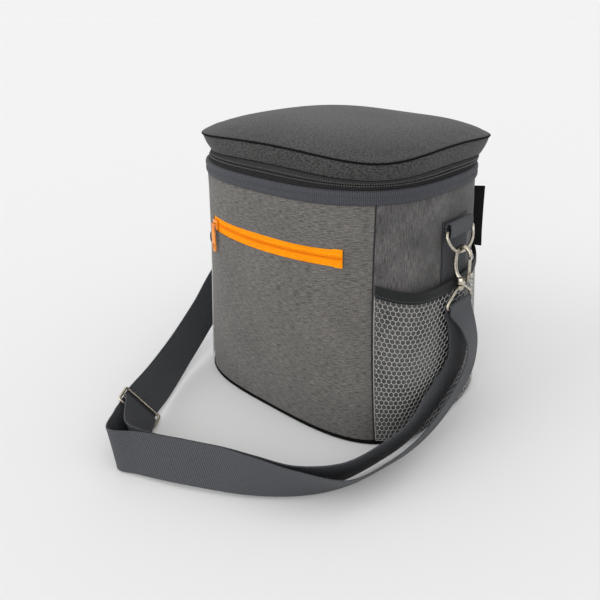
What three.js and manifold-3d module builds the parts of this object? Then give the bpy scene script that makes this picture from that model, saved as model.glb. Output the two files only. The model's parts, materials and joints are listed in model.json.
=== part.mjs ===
// Insulated cooler bag with a zipped lid, a zipped front pocket, two mesh side pockets
// and an adjustable webbing strap clipped to a ring on each side.
// Millimetres, +Z up, the front of the bag faces -Y, its right side faces +X.
import * as THREE from "three";
import { mergeVertices } from "three/addons/utils/BufferGeometryUtils.js";
import Module from "manifold-3d";

const wasm = await Module();
wasm.setup();

// ---------- driving dimensions ----------
const GAP = 0.35;
const PANEL = 2.2;
const FOAM = 7;
const LINER = 1;

// Half width, half depth and squareness of the body's outline at three heights.
const BODY = {
  heights: [0, 119, 238],
  halfWidth: [144.5, 137.1, 131.8],
  halfDepth: [111.7, 119.3, 120],
  squareness: [3.41, 2.73, 2.64],
};
const SEAM_ANGLE_BASE = 44.4;
const SEAM_ANGLE_RIM = 39.7;
const PANEL_STEPS = 10;

const BASE_TOP = 5;
const WALL_TOP = 237.7;
const RIM_BOTTOM = 238;
const RIM_TOP = 250.2;
const WALL_LEVELS = [BASE_TOP, 52, 99, 146, 192, WALL_TOP];

// The lid: outline of the lower edge of its side band, and of the welt seam above it.
const LID_EDGE = { halfWidth: 126.9, halfDepth: 112, squareness: 3.34, shift: 6.4, z: 260.3, drop: 7 };
const LID_WELT = { halfWidth: 128.7, halfDepth: 113, squareness: 4.47, shift: 7.2, z: 278.5, drop: 7.8 };
const LID_CROWN = 13;
const HINGE_STRIP_FROM = 62;
const HINGE_STRIP_TO = 118;
const MAIN_SLIDER_ANGLE = 164;
const MAIN_SLIDER_TURN = -102;

// The front pocket's zip runs along an arc round a vertical line.
const POCKET_ZIP = { x: 0, y: 137.6, radius: 258, z: 190, height: 15, from: -16.8, to: 19.6 };
const POCKET_SLIDER_ANGLE = -15.6;

const MESH_BULGE = 4.9;
const MESH_LOBE = 3.4;
const BINDING_HEIGHT = 11.5;
const BINDING_LOW = 153;
const BINDING_RISE = 13;

const WEBBING_WIDTH = 40;
const WEBBING = 1.4;
const SIDE_WEBBING_WIDTH = 48;
const SIDE_WEBBING_Y = 8;
const RING_BAR = { x: 139.4, y: 5, z: 202.5 };
const RING_WIRE = 1.6;
const RING_HALF = 24.5;
const RING_DROP = 22.4;
const RING_TILT = 17.5;
const HOOK = { x: 147, y: 2, top: 188 };
const EYE_BAR_Z = 128;

// ---------- small helpers ----------
const material = (name, color, roughness, metalness = 0) => {
  const made = new THREE.MeshStandardMaterial({ color, roughness, metalness });
  made.name = name;
  return made;
};
const GREY = ["body fabric", 0x767370, 0.9];
const CHARCOAL = ["lid fabric", 0x4e4e4e, 0.9];
const SLATE = ["webbing", 0x4c4f56, 0.8];
const BLACK = ["black trim", 0x1c1d1e, 0.75];
const ORANGE = ["orange zip", 0xf59a12, 0.6];
const MESH = ["mesh", 0x8f8f8c, 0.8];
const METAL = ["nickel", 0xb5ab98, 0.3, 1];
const FOAM_WHITE = ["foam", 0xe9e9e4, 0.95];
const SILVER = ["silver lining", 0xb9bcc0, 0.35, 0.6];

const bag = new THREE.Group();
bag.name = "cooler_bag";

const add = (name, geometry, look) => {
  const mesh = new THREE.Mesh(geometry, material(...look));
  mesh.name = name;
  bag.add(mesh);
  return mesh;
};

const geometryOf = (points, faces) => {
  const geometry = new THREE.BufferGeometry();
  const numbers = points.flatMap((p) => [p.x, p.y, p.z]);
  geometry.setAttribute("position", new THREE.Float32BufferAttribute(numbers, 3));
  geometry.setIndex(faces.flat());
  return geometry;
};

const vec = (x, y, z) => new THREE.Vector3(x, y, z);
const lerp = (a, b, t) => a + (b - a) * t;
const radians = THREE.MathUtils.degToRad;

// Turns every face round when the closed surface faces inwards.
const facingOut = (points, faces) => {
  let volume = 0;
  for (const [a, b, c] of faces) {
    volume += points[a].dot(points[b].clone().cross(points[c]));
  }
  return volume < 0 ? faces.map(([a, b, c]) => [a, c, b]) : faces;
};
const closed = (points, faces) => geometryOf(points, facingOut(points, faces));

// Quads between neighbouring loops of points; a loop is closed on itself.
const loopFaces = (first, second, count) => {
  const faces = [];
  for (let i = 0; i < count; i++) {
    const j = (i + 1) % count;
    faces.push([first + i, first + j, second + i]);
    faces.push([first + j, second + j, second + i]);
  }
  return faces;
};

// A solid between two poles: loops of points stacked from one pole to the other.
const capped = (loops) => {
  const count = loops[0].length;
  const points = loops.flat();
  const faces = [];
  for (let k = 0; k + 1 < loops.length; k++) {
    faces.push(...loopFaces(k * count, (k + 1) * count, count));
  }
  const middle = (loop) => loop.reduce((sum, p) => sum.add(p), vec(0, 0, 0)).divideScalar(count);
  const start = points.push(middle(loops[0])) - 1;
  const end = points.push(middle(loops.at(-1))) - 1;
  const last = (loops.length - 1) * count;
  for (let i = 0; i < count; i++) {
    const j = (i + 1) % count;
    faces.push([start, j, i]);
    faces.push([end, last + i, last + j]);
  }
  return closed(points, faces);
};

// A closed ring: loops of points, the last one joined back to the first.
const ringSolid = (loops) => {
  const count = loops[0].length;
  const faces = [];
  for (let k = 0; k < loops.length; k++) {
    faces.push(...loopFaces(k * count, ((k + 1) % loops.length) * count, count));
  }
  return closed(loops.flat(), faces);
};

// A curved sheet with thickness, from its outer and inner faces as functions of (u, v).
const slab = (outer, inner, across, up) => {
  const points = [];
  const at = (side, i, j) => side * (across + 1) * (up + 1) + j * (across + 1) + i;
  for (const face of [outer, inner]) {
    for (let j = 0; j <= up; j++) {
      for (let i = 0; i <= across; i++) {
        points.push(face(i / across, j / up));
      }
    }
  }
  const faces = [];
  for (let j = 0; j < up; j++) {
    for (let i = 0; i < across; i++) {
      faces.push([at(0, i, j), at(0, i + 1, j), at(0, i, j + 1)]);
      faces.push([at(0, i + 1, j), at(0, i + 1, j + 1), at(0, i, j + 1)]);
      faces.push([at(1, i, j), at(1, i, j + 1), at(1, i + 1, j)]);
      faces.push([at(1, i + 1, j), at(1, i, j + 1), at(1, i + 1, j + 1)]);
    }
  }
  for (let i = 0; i < across; i++) {
    faces.push([at(0, i, 0), at(1, i, 0), at(0, i + 1, 0)]);
    faces.push([at(0, i + 1, 0), at(1, i, 0), at(1, i + 1, 0)]);
    faces.push([at(0, i, up), at(0, i + 1, up), at(1, i, up)]);
    faces.push([at(0, i + 1, up), at(1, i + 1, up), at(1, i, up)]);
  }
  for (let j = 0; j < up; j++) {
    faces.push([at(0, 0, j), at(0, 0, j + 1), at(1, 0, j)]);
    faces.push([at(0, 0, j + 1), at(1, 0, j + 1), at(1, 0, j)]);
    faces.push([at(0, across, j), at(1, across, j), at(0, across, j + 1)]);
    faces.push([at(0, across, j + 1), at(1, across, j), at(1, across, j + 1)]);
  }
  return closed(points, faces);
};

// A round ring along a path of points that closes on itself.
const roundRing = (path, radius, sides = 8) => {
  const loops = [];
  const count = path.length;
  let side = null;
  for (let i = 0; i < count; i++) {
    const before = path[(i + count - 1) % count];
    const after = path[(i + 1) % count];
    const along = after.clone().sub(before).normalize();
    if (!side) {
      side = Math.abs(along.z) < 0.9 ? vec(0, 0, 1) : vec(0, 1, 0);
    }
    side = side.clone().sub(along.clone().multiplyScalar(side.dot(along))).normalize();
    const other = along.clone().cross(side);
    const loop = [];
    for (let k = 0; k < sides; k++) {
      const angle = (2 * Math.PI * k) / sides;
      const out = side.clone().multiplyScalar(Math.cos(angle) * radius);
      loop.push(path[i].clone().add(out).addScaledVector(other, Math.sin(angle) * radius));
    }
    loops.push(loop);
  }
  return ringSolid(loops);
};

// One closed surface whose faces share their corners.
const merged = (geometry) => {
  geometry.deleteAttribute("normal");
  geometry.deleteAttribute("uv");
  return mergeVertices(geometry, 1e-3);
};

// A round tube with closed ends along a smooth curve through the points.
const tube = (points, radius, steps, sides = 8) => {
  const outline = new THREE.EllipseCurve(0, 0, radius, radius).getPoints(sides).slice(0, -1);
  const extrudePath = new THREE.CatmullRomCurve3(points, false, "centripetal");
  const options = { steps, bevelEnabled: false, extrudePath };
  return merged(new THREE.ExtrudeGeometry(new THREE.Shape(outline), options));
};

const solidOf = (geometry) => {
  const vertProperties = new Float32Array(geometry.getAttribute("position").array);
  const triVerts = new Uint32Array(geometry.index.array);
  return new wasm.Manifold(new wasm.Mesh({ numProp: 3, vertProperties, triVerts }));
};
const geometryFrom = (solid) => {
  const mesh = solid.getMesh();
  const geometry = new THREE.BufferGeometry();
  geometry.setAttribute("position", new THREE.Float32BufferAttribute(mesh.vertProperties, 3));
  geometry.setIndex(Array.from(mesh.triVerts));
  return geometry;
};
const joined = (...solids) => geometryFrom(solids.reduce((sum, solid) => sum.add(solid)));
const block = (sx, sy, sz, x, y, z) => solidOf(merged(new THREE.BoxGeometry(sx, sy, sz).translate(x, y, z)));

// A round pin centred on (x, y, z) along one axis.
const pin = (axis, radius, length, sides, x, y, z) => {
  const geometry = new THREE.CylinderGeometry(radius, radius, length, sides);
  if (axis === "x") {
    geometry.rotateZ(Math.PI / 2);
  }
  if (axis === "z") {
    geometry.rotateX(Math.PI / 2);
  }
  return solidOf(merged(geometry.translate(x, y, z)));
};

const mirrored = (geometry) => {
  const points = [];
  const position = geometry.getAttribute("position");
  for (let i = 0; i < position.count; i++) {
    points.push(vec(-position.getX(i), position.getY(i), position.getZ(i)));
  }
  const faces = [];
  for (let i = 0; i < geometry.index.count; i += 3) {
    faces.push([0, 1, 2].map((k) => geometry.index.getX(i + k)));
  }
  return closed(points, faces);
};

// ---------- body outline ----------
const throughThree = (values, z) => {
  const [low, middle, high] = BODY.heights;
  const wLow = ((z - middle) * (z - high)) / ((low - middle) * (low - high));
  const wMiddle = ((z - low) * (z - high)) / ((middle - low) * (middle - high));
  const wHigh = ((z - low) * (z - middle)) / ((high - low) * (high - middle));
  return values[0] * wLow + values[1] * wMiddle + values[2] * wHigh;
};

const roundedPoint = (halfWidth, halfDepth, squareness, angle) => {
  const c = Math.cos(radians(angle));
  const s = Math.sin(radians(angle));
  const x = halfWidth * Math.sign(c) * Math.abs(c) ** (2 / squareness);
  const y = halfDepth * Math.sign(s) * Math.abs(s) ** (2 / squareness);
  return [x, y];
};

// A point of the body, moved inwards by inset.
const bodyPoint = (angle, z, inset = 0) => {
  const level = Math.min(z, BODY.heights[2]);
  const halfWidth = throughThree(BODY.halfWidth, level) - inset;
  const halfDepth = throughThree(BODY.halfDepth, level) - inset;
  const [x, y] = roundedPoint(halfWidth, halfDepth, throughThree(BODY.squareness, level), angle);
  return vec(x, y, z);
};

const seamAngle = (z) => lerp(SEAM_ANGLE_BASE, SEAM_ANGLE_RIM, Math.min(z, WALL_TOP) / WALL_TOP);

// The four walls between the seams, anticlockwise from the right side.
const WALLS = ["right", "back", "left", "front"];
const wallAngle = (wall, u, z, trim = 0) => {
  const seam = seamAngle(z);
  const starts = [-seam, seam, 180 - seam, 180 + seam];
  const ends = [seam, 180 - seam, 180 + seam, 360 - seam];
  return lerp(starts[wall] + trim, ends[wall] - trim, u);
};

const roundAngles = (z) => {
  const angles = [];
  for (let wall = 0; wall < 4; wall++) {
    for (let i = 0; i < PANEL_STEPS; i++) {
      angles.push(wallAngle(wall, i / PANEL_STEPS, z));
    }
  }
  return angles;
};
const bodyLoop = (z, inset) => roundAngles(z).map((angle) => bodyPoint(angle, z, inset));

const levelAt = (levels, v) => {
  const position = v * (levels.length - 1);
  const index = Math.min(Math.floor(position), levels.length - 2);
  return lerp(levels[index], levels[index + 1], position - index);
};

const wallSlab = (wall, levels, outerInset, innerInset, trim) =>
  slab(
    (u, v) => bodyPoint(wallAngle(wall, u, levelAt(levels, v), trim), levelAt(levels, v), outerInset),
    (u, v) => bodyPoint(wallAngle(wall, u, levelAt(levels, v), trim), levelAt(levels, v), innerInset),
    PANEL_STEPS,
    levels.length - 1,
  );

// ---------- base ----------
const BASE_INSET = 3.6;
add("base_panel", capped([bodyLoop(0, BASE_INSET), bodyLoop(2, BASE_INSET)]), BLACK);
add("base_piping", roundRing(bodyLoop(2.3, 1.3), 2, 6), BLACK);
add("base_foam", capped([bodyLoop(2.4, 5), bodyLoop(9, 5)]), FOAM_WHITE);

// ---------- walls ----------
const FOAM_OUTER = PANEL + GAP + 1.4;
const FOAM_INNER = FOAM_OUTER + FOAM - 1;
const panels = WALLS.map((_, wall) => wallSlab(wall, WALL_LEVELS, 0, PANEL, 0.17));
const windowHeight = POCKET_ZIP.height + 2 * GAP;
const windowWidth = 162.6;
const pocketWindow = block(windowWidth, 60, windowHeight, 6, -125, POCKET_ZIP.z);
panels[3] = geometryFrom(solidOf(panels[3]).subtract(pocketWindow));
WALLS.forEach((wall, index) => {
  add(wall + "_panel", panels[index], GREY);
  const levels = [9.6, ...WALL_LEVELS.slice(1, -1), 236.4];
  add(wall + "_foam", wallSlab(index, levels, FOAM_OUTER, FOAM_INNER, 0.35), FOAM_WHITE);
});

// ---------- lining: an open tub whose rim flares over the foam ----------
const tubInset = FOAM_INNER + GAP;
const tubLevels = [...WALL_LEVELS.slice(1, -1), 236.8];
add(
  "inner_lining",
  capped([
    bodyLoop(9.7, tubInset),
    ...tubLevels.map((z) => bodyLoop(z, tubInset)),
    bodyLoop(240, 4.6),
    bodyLoop(RIM_TOP - 0.6, 4.6),
    bodyLoop(RIM_TOP - 0.6, 4.6 + LINER),
    bodyLoop(240.6, 4.6 + LINER),
    ...tubLevels.reverse().map((z) => bodyLoop(z + (z > 230 ? 0.6 : 0), tubInset + LINER)),
    bodyLoop(9.7 + LINER, tubInset + LINER),
  ]),
  SILVER,
);

// ---------- rim binding ----------
add(
  "rim_binding",
  ringSolid([
    bodyLoop(RIM_BOTTOM, -0.9),
    bodyLoop(RIM_TOP - 1, -0.9),
    bodyLoop(RIM_TOP, 0.4),
    bodyLoop(RIM_TOP, 3.2),
    bodyLoop(RIM_TOP - 1, 4.2),
    bodyLoop(RIM_BOTTOM, 4.2),
  ]),
  SLATE,
);

// ---------- lid outline ----------
const lidPoint = (edge, angle, inset = 0, rise = 0) => {
  const halfWidth = edge.halfWidth - inset;
  const halfDepth = edge.halfDepth - inset;
  const [x, y] = roundedPoint(halfWidth, halfDepth, edge.squareness, angle);
  const corner = ((x / edge.halfWidth) * (y / edge.halfDepth)) ** 2;
  return vec(x, y + edge.shift, edge.z + rise - edge.drop * corner);
};
const LID_STEPS = 44;
const LID_ANGLES = Array.from({ length: LID_STEPS }, (_, i) => (360 * i) / LID_STEPS);
const lidLoop = (edge, inset, rise) => LID_ANGLES.map((angle) => lidPoint(edge, angle, inset, rise));

// ---------- main zip: tapes and coils on the slope between rim and lid ----------
const slope = (angle, t, out = 0) => {
  const low = bodyPoint(angle, RIM_TOP, 1.6);
  const high = lidPoint(LID_EDGE, angle, 1.2, 0);
  const point = low.clone().lerp(high, t);
  const outward = vec(Math.cos(radians(angle)), Math.sin(radians(angle)), 0.6).normalize();
  return point.addScaledVector(outward, out);
};
const ZIP_FROM = HINGE_STRIP_TO + 0.6;
const ZIP_TO = 360 + HINGE_STRIP_FROM - 0.6;
const zipTape = (from, to) =>
  slab(
    (u, v) => slope(lerp(ZIP_FROM, ZIP_TO, u), lerp(from, to, v), 0.5),
    (u, v) => slope(lerp(ZIP_FROM, ZIP_TO, u), lerp(from, to, v), -0.5),
    44,
    1,
  );
const zipCoil = (t) => {
  const path = [];
  for (let i = 0; i <= 44; i++) {
    path.push(slope(lerp(ZIP_FROM, ZIP_TO, i / 44), t, 0));
  }
  return tube(path, 0.8, 60, 6);
};
add("main_zip_lower_tape", zipTape(0.05, 0.26), BLACK);
add("main_zip_lower_coil", zipCoil(0.4), BLACK);
add("main_zip_upper_coil", zipCoil(0.64), BLACK);
add("main_zip_upper_tape", zipTape(0.78, 0.95), BLACK);
add(
  "lid_hinge_strip",
  slab(
    (u, v) => slope(lerp(HINGE_STRIP_FROM, HINGE_STRIP_TO, u), lerp(0.05, 0.9, v), 0.6),
    (u, v) => slope(lerp(HINGE_STRIP_FROM, HINGE_STRIP_TO, u), lerp(0.05, 0.9, v), -0.6),
    12,
    1,
  ),
  CHARCOAL,
);

// ---------- lid ----------
const weltRadius = 1.9;
const gussetTop = -weltRadius - GAP;
add(
  "lid_gusset",
  ringSolid([
    lidLoop(LID_EDGE, 0, 0.4),
    lidLoop(LID_WELT, 0.6, gussetTop),
    lidLoop(LID_WELT, 0.6 + PANEL, gussetTop),
    lidLoop(LID_EDGE, PANEL, 0.4),
  ]),
  CHARCOAL,
);
add("lid_welt", roundRing(lidLoop(LID_WELT, 0.5, 0), weltRadius, 6), BLACK);
const crown = (fraction, inset, rise) =>
  LID_ANGLES.map((angle) => {
    const edge = lidPoint(LID_WELT, angle, inset, 0);
    const x = edge.x * fraction;
    const y = LID_WELT.shift + (edge.y - LID_WELT.shift) * fraction;
    const drop = (LID_WELT.z - edge.z) * fraction ** 4;
    return vec(x, y, LID_WELT.z - drop + rise + LID_CROWN * (1 - fraction ** 4));
  });
const CROWN_STEPS = [1, 0.93, 0.82, 0.66, 0.45, 0.22];
add(
  "lid_top_panel",
  capped([
    ...[...CROWN_STEPS].reverse().map((fraction) => crown(fraction, 2.9, -PANEL + 0.6)),
    ...CROWN_STEPS.map((fraction) => crown(fraction, 2.9, 0.6)),
  ]),
  CHARCOAL,
);
add(
  "lid_foam",
  capped([
    lidLoop(LID_EDGE, 3.2, 4.4),
    lidLoop(LID_WELT, 4.6, -4),
    ...CROWN_STEPS.map((fraction) => crown(fraction, 6, -PANEL - 0.4)),
  ]),
  FOAM_WHITE,
);
add("lid_lining", capped([lidLoop(LID_EDGE, 3.2, 2.6), lidLoop(LID_EDGE, 3.2, 3.6)]), SILVER);

// ---------- a zip's slider and pull, built standing at the origin ----------
// x runs along the zip, y points into the bag, z is up; the pull hangs from a bar in front.
const PULL_OUT = -4.3;
const sliderSolid = (length, height) =>
  joined(
    block(length, 2.2, height, 0, -1.1, 0),
    block(1.2, 3, 1.5, 3.2, PULL_OUT + 1, 0),
    block(1.2, 3, 1.5, -3.2, PULL_OUT + 1, 0),
    pin("x", 0.7, 6, 10, 0, PULL_OUT, 0),
  );
const pullSolid = (length) =>
  geometryFrom(
    pin("x", 1.75, 4.4, 14, 0, 0, 0)
      .add(block(4.4, 1.2, 4, 0, 0, -2))
      .subtract(pin("x", 1.05, 6, 14, 0, 0, 0))
      .add(block(7, 1.2, length - 3, 0, 0, -3 - (length - 3) / 2))
      .subtract(block(3, 4, 5, 0, 0, -length + 5)),
  );
const placed = (geometry, matrix) => geometry.clone().applyMatrix4(matrix);

// ---------- front pocket ----------
const arcPoint = (angle, z, out = 0) => {
  const radius = POCKET_ZIP.radius + out;
  const x = POCKET_ZIP.x + radius * Math.sin(radians(angle));
  const y = POCKET_ZIP.y - radius * Math.cos(radians(angle));
  return vec(x, y, z);
};
const pocketTape = (low, high) =>
  slab(
    (u, v) => arcPoint(lerp(POCKET_ZIP.from, POCKET_ZIP.to, u), lerp(low, high, v), 0.2),
    (u, v) => arcPoint(lerp(POCKET_ZIP.from, POCKET_ZIP.to, u), lerp(low, high, v), -0.8),
    18,
    1,
  );
const halfHeight = POCKET_ZIP.height / 2;
add("pocket_zip_upper_tape", pocketTape(POCKET_ZIP.z + 1.4, POCKET_ZIP.z + halfHeight), ORANGE);
add("pocket_zip_lower_tape", pocketTape(POCKET_ZIP.z - halfHeight, POCKET_ZIP.z - 1.4), ORANGE);
const coilPath = [];
for (let i = 0; i <= 24; i++) {
  coilPath.push(arcPoint(lerp(POCKET_ZIP.from, POCKET_ZIP.to, i / 24), POCKET_ZIP.z, -0.4));
}
add("pocket_zip_coil", tube(coilPath, 1, 24), ORANGE);
const pocketSliderPlace = new THREE.Matrix4()
  .makeTranslation(...arcPoint(POCKET_SLIDER_ANGLE, POCKET_ZIP.z, 0.8).toArray())
  .multiply(new THREE.Matrix4().makeRotationZ(radians(POCKET_SLIDER_ANGLE)));
add("pocket_zip_slider", placed(sliderSolid(9, 9), pocketSliderPlace), ORANGE);
const pocketPullPlace = pocketSliderPlace
  .clone()
  .multiply(new THREE.Matrix4().makeTranslation(0, PULL_OUT, 0));
add("pocket_zip_pull", placed(pullSolid(29), pocketPullPlace), ORANGE);
const POCKET_LEVELS = [52, 99, 146, 192, 215];
add("pocket_lining", wallSlab(3, POCKET_LEVELS, PANEL + 0.6, PANEL + 1.2, 0.35), BLACK);

// ---------- main zip slider, towards the back of the left side ----------
const mainSliderAt = slope(MAIN_SLIDER_ANGLE, 0.5, 1.9);
const mainSliderPlace = new THREE.Matrix4()
  .makeTranslation(...mainSliderAt.toArray())
  .multiply(new THREE.Matrix4().makeRotationZ(radians(MAIN_SLIDER_TURN)));
add("main_zip_slider", placed(sliderSolid(9, 6.4), mainSliderPlace), BLACK);
const mainPullPlace = mainSliderPlace.clone().multiply(new THREE.Matrix4().makeTranslation(0, PULL_OUT, 0));
add("main_zip_pull", placed(pullSolid(27), mainPullPlace), BLACK);

// ---------- mesh side pockets ----------
const bindingTop = (u) => BINDING_LOW + BINDING_RISE * (2 * u - 1) ** 2;
// The mesh stands off the side most on both sides of the hook that presses its middle.
const bulge = (u, v) => {
  const acrossShape = Math.sin(Math.PI * u) ** 0.7;
  const upShape = 0.36 + 0.64 * Math.sin(Math.PI * 0.6 * v);
  const lobes = Math.sin(2 * Math.PI * u) ** 2 * upShape;
  return 0.4 + MESH_BULGE * acrossShape * upShape + MESH_LOBE * lobes;
};
const pocketFace = (wall, out) => (u, v) => {
  const z = lerp(6, bindingTop(u) - BINDING_HEIGHT - GAP, v);
  return bodyPoint(wallAngle(wall, u, z, 0.8), z, -bulge(u, v) - out);
};
const bindingFace = (wall, out) => (u, v) => {
  const top = bindingTop(u);
  const z = lerp(top - BINDING_HEIGHT, top, v);
  return bodyPoint(wallAngle(wall, u, z, 0.8), z, -bulge(u, 1) - out);
};
const meshPocket = slab(pocketFace(0, 1), pocketFace(0, 0), 12, 6);
const meshBinding = slab(bindingFace(0, 1.5), bindingFace(0, 0), 12, 1);

// ---------- side webbing, ring loop and ring ----------
const sideAngle = (y, z) => {
  const halfDepth = throughThree(BODY.halfDepth, z);
  const squareness = throughThree(BODY.squareness, z);
  const s = Math.sign(y) * (Math.abs(y) / halfDepth) ** (squareness / 2);
  return THREE.MathUtils.radToDeg(Math.asin(s));
};
const stripFace = (out) => (u, v) => {
  const z = lerp(6, 211, v);
  const y = SIDE_WEBBING_Y + lerp(-SIDE_WEBBING_WIDTH / 2, SIDE_WEBBING_WIDTH / 2, u);
  return bodyPoint(sideAngle(y, z), z, -out);
};
const webbingStrip = slab(stripFace(0.4 + WEBBING), stripFace(0.4), 6, 8);

const stadium = (width, height, x, z) => {
  const shape = [];
  for (let i = 0; i < 20; i++) {
    const angle = (2 * Math.PI * i) / 20;
    const px = (width / 2) * Math.sign(Math.cos(angle)) * Math.abs(Math.cos(angle)) ** 0.7;
    const pz = (height / 2) * Math.sign(Math.sin(angle)) * Math.abs(Math.sin(angle)) ** 0.7;
    shape.push([x + px, z + pz]);
  }
  return shape;
};
const alongY = (shape, from, to) => [from, to].map((y) => shape.map(([x, z]) => vec(x, y, z)));
const LOOP_FROM = RING_BAR.y - RING_HALF + 4.2;
const LOOP_TO = RING_BAR.y + RING_HALF - 4.2;
const outerLoop = alongY(stadium(7, 16, RING_BAR.x, 203.2), LOOP_FROM, LOOP_TO);
const innerLoop = alongY(stadium(4.4, 13.2, RING_BAR.x, 203.2), LOOP_FROM, LOOP_TO);
const ringLoop = ringSolid([outerLoop[0], outerLoop[1], innerLoop[1], innerLoop[0]]);

// The ring: a straight bar inside the loop and a bow hanging below it.
const ringPath = [];
for (let i = 0; i <= 8; i++) {
  ringPath.push(vec(0, lerp(-RING_HALF, RING_HALF, i / 8), 0));
}
for (let i = 1; i < 16; i++) {
  const angle = (Math.PI * i) / 16;
  const y = RING_HALF * Math.cos(angle);
  ringPath.push(vec(0, y, -RING_DROP * Math.sin(angle) ** 0.8));
}
const ringPlace = new THREE.Matrix4()
  .makeTranslation(RING_BAR.x, RING_BAR.y, RING_BAR.z)
  .multiply(new THREE.Matrix4().makeRotationY(radians(-RING_TILT)));
const dRing = roundRing(ringPath.map((p) => p.applyMatrix4(ringPlace)), RING_WIRE);

// ---------- snap hook: bow, gate, swivel eye ----------
const HOOK_WIRE = 2.1;
const BOW_HEIGHT = 33.6;
const bowPath = [
  vec(0, 0, 0),
  vec(-4, 0, 3.5),
  vec(-6.8, 0, 11),
  vec(-7.2, 0, 21),
  vec(-5.6, 0, 29.5),
  vec(0, 0, BOW_HEIGHT),
  vec(6, 0, 30.4),
  vec(7.8, 0, 25),
];
const HOOK_BASE_Z = HOOK.top - HOOK_WIRE - BOW_HEIGHT;
const hookPlace = new THREE.Matrix4().makeTranslation(HOOK.x, HOOK.y, HOOK_BASE_Z);
const post = (radius, from, to, sides) => pin("z", radius, to - from, sides, 0, 0, (from + to) / 2);
const GATE_PIN = { x: 7.6, z: 1.4 };
const collar = post(4.4, -4.5, 2.5, 14);
const swivelPin = post(1.3, -10.6, -4, 10).add(post(2.4, -11.4, -10.4, 12));
const bow = solidOf(tube(bowPath, HOOK_WIRE, 18));
const pinHole = pin("y", 0.9, 6, 10, GATE_PIN.x, 0, GATE_PIN.z);
const gateMount = block(6.6, 1.6, 3.6, 5.6, 0, 1.3).subtract(pinHole);
const hookBody = placed(joined(bow, collar, swivelPin, gateMount), hookPlace);

// The gate is forked round its mount and reaches up to the nose of the bow.
const gateBlade = block(2.4, 4.2, 18.2, GATE_PIN.x, 0, 13.4);
const gateFork = block(2.4, 4.2, 6, GATE_PIN.x, 0, 2.9).subtract(block(8, 2.4, 6, GATE_PIN.x, 0, 1.2));
const thumb = block(3.4, 4.2, 2.2, GATE_PIN.x + 2.4, 0, 8);
const gatePin = pin("y", 0.5, 4.2, 10, GATE_PIN.x, 0, GATE_PIN.z);
const hookGate = placed(joined(gateBlade, gateFork, thumb, gatePin), hookPlace);

// The eye turns on a pin below the collar; the strap runs round its lower bar.
const EYE_HALF = WEBBING_WIDTH / 2 + 2.6;
const eyeTop = -7.8;
const eyeBottom = EYE_BAR_Z - HOOK_BASE_Z;
const halfEye = [
  vec(0, 8, eyeTop - 1.2),
  vec(0, EYE_HALF - 1.5, eyeBottom + 6),
  vec(0, EYE_HALF, eyeBottom + 3),
  vec(0, EYE_HALF - 0.8, eyeBottom + 0.9),
  vec(0, EYE_HALF - 3, eyeBottom),
];
const eyePath = [vec(0, 3, eyeTop), ...halfEye];
eyePath.push(...[...eyePath].reverse().map((p) => vec(0, -p.y, p.z)));
const eyeSolid = solidOf(roundRing(eyePath, 1.6))
  .add(post(3.4, eyeTop - 2.2, eyeTop + 2.2, 14))
  .subtract(post(1.7, eyeTop - 4, eyeTop + 4, 12));
const swivelEye = placed(geometryFrom(eyeSolid), hookPlace);

const SIDES = { right: (geometry) => geometry, left: mirrored };
for (const [side, turned] of Object.entries(SIDES)) {
  add(side + "_mesh_pocket", turned(meshPocket), MESH);
  add(side + "_mesh_binding", turned(meshBinding), BLACK);
  add(side + "_webbing_strip", turned(webbingStrip), SLATE);
  add(side + "_ring_loop", turned(ringLoop), SLATE);
  add(side + "_ring", turned(dRing), METAL);
  add(side + "_hook", turned(hookBody), METAL);
  add(side + "_hook_gate", turned(hookGate), METAL);
  add(side + "_swivel_eye", turned(swivelEye), METAL);
}

// ---------- shoulder strap ----------
// Each station is the lower edge and the upper edge of the webbing where it lies.
const UPPER_RUN = [
  [[-149.8, 22, 127], [-149.8, -18, 127]],
  [[-152, 19, 108], [-153, -20, 110]],
  [[-158, -8, 74], [-167, -41, 99]],
  [[-154, -62, 27], [-165, -79, 62]],
  [[-130, -117, 8], [-149, -122, 43]],
  [[-98, -169, 3], [-119, -178, 36]],
  [[-79.3, -199.1, 4.5], [-98.7, -215.5, 35.3]],
  [[-73.1, -208.6, 3.4], [-92.5, -225, 34.2]],
];
const OUTER_RUN = [
  [[-72.5, -209.6, 3.3], [-91.9, -226, 34]],
  [[-66.3, -219.1, 2.1], [-85.7, -235.5, 32.9]],
  [[-57, -240, 1.5], [-72, -248, 37]],
  [[-41, -268, 1.5], [-51, -267, 40]],
  [[-20, -262, 3], [-23, -252, 41]],
  [[12, -250, 4.5], [11, -236, 41]],
  [[48, -233, 5], [46, -222, 42]],
  [[81, -214, 5], [81, -213, 43]],
  [[113, -187, 4], [118, -200, 41]],
  [[133, -153, 2], [151, -172, 31]],
  [[145, -112, 2], [164, -130, 31]],
  [[152, -72, 3], [168, -92, 34]],
  [[154, -34, 8], [166, -60, 38]],
  [[156, -4, 22], [165, -38, 45]],
  [[158, 24, 46], [165, -13, 62]],
  [[157, 31, 76], [166, -7, 86]],
  [[153, 27, 104], [159, -12, 109]],
  [[149.9, 22, 122], [150, -18, 122]],
  [[149.7, 22, 128], [149.7, -18, 128]],
  [[148.95, 22, 129.95], [148.95, -18, 129.95]],
  [[147, 22, 130.75], [147, -18, 130.75]],
];
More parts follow.
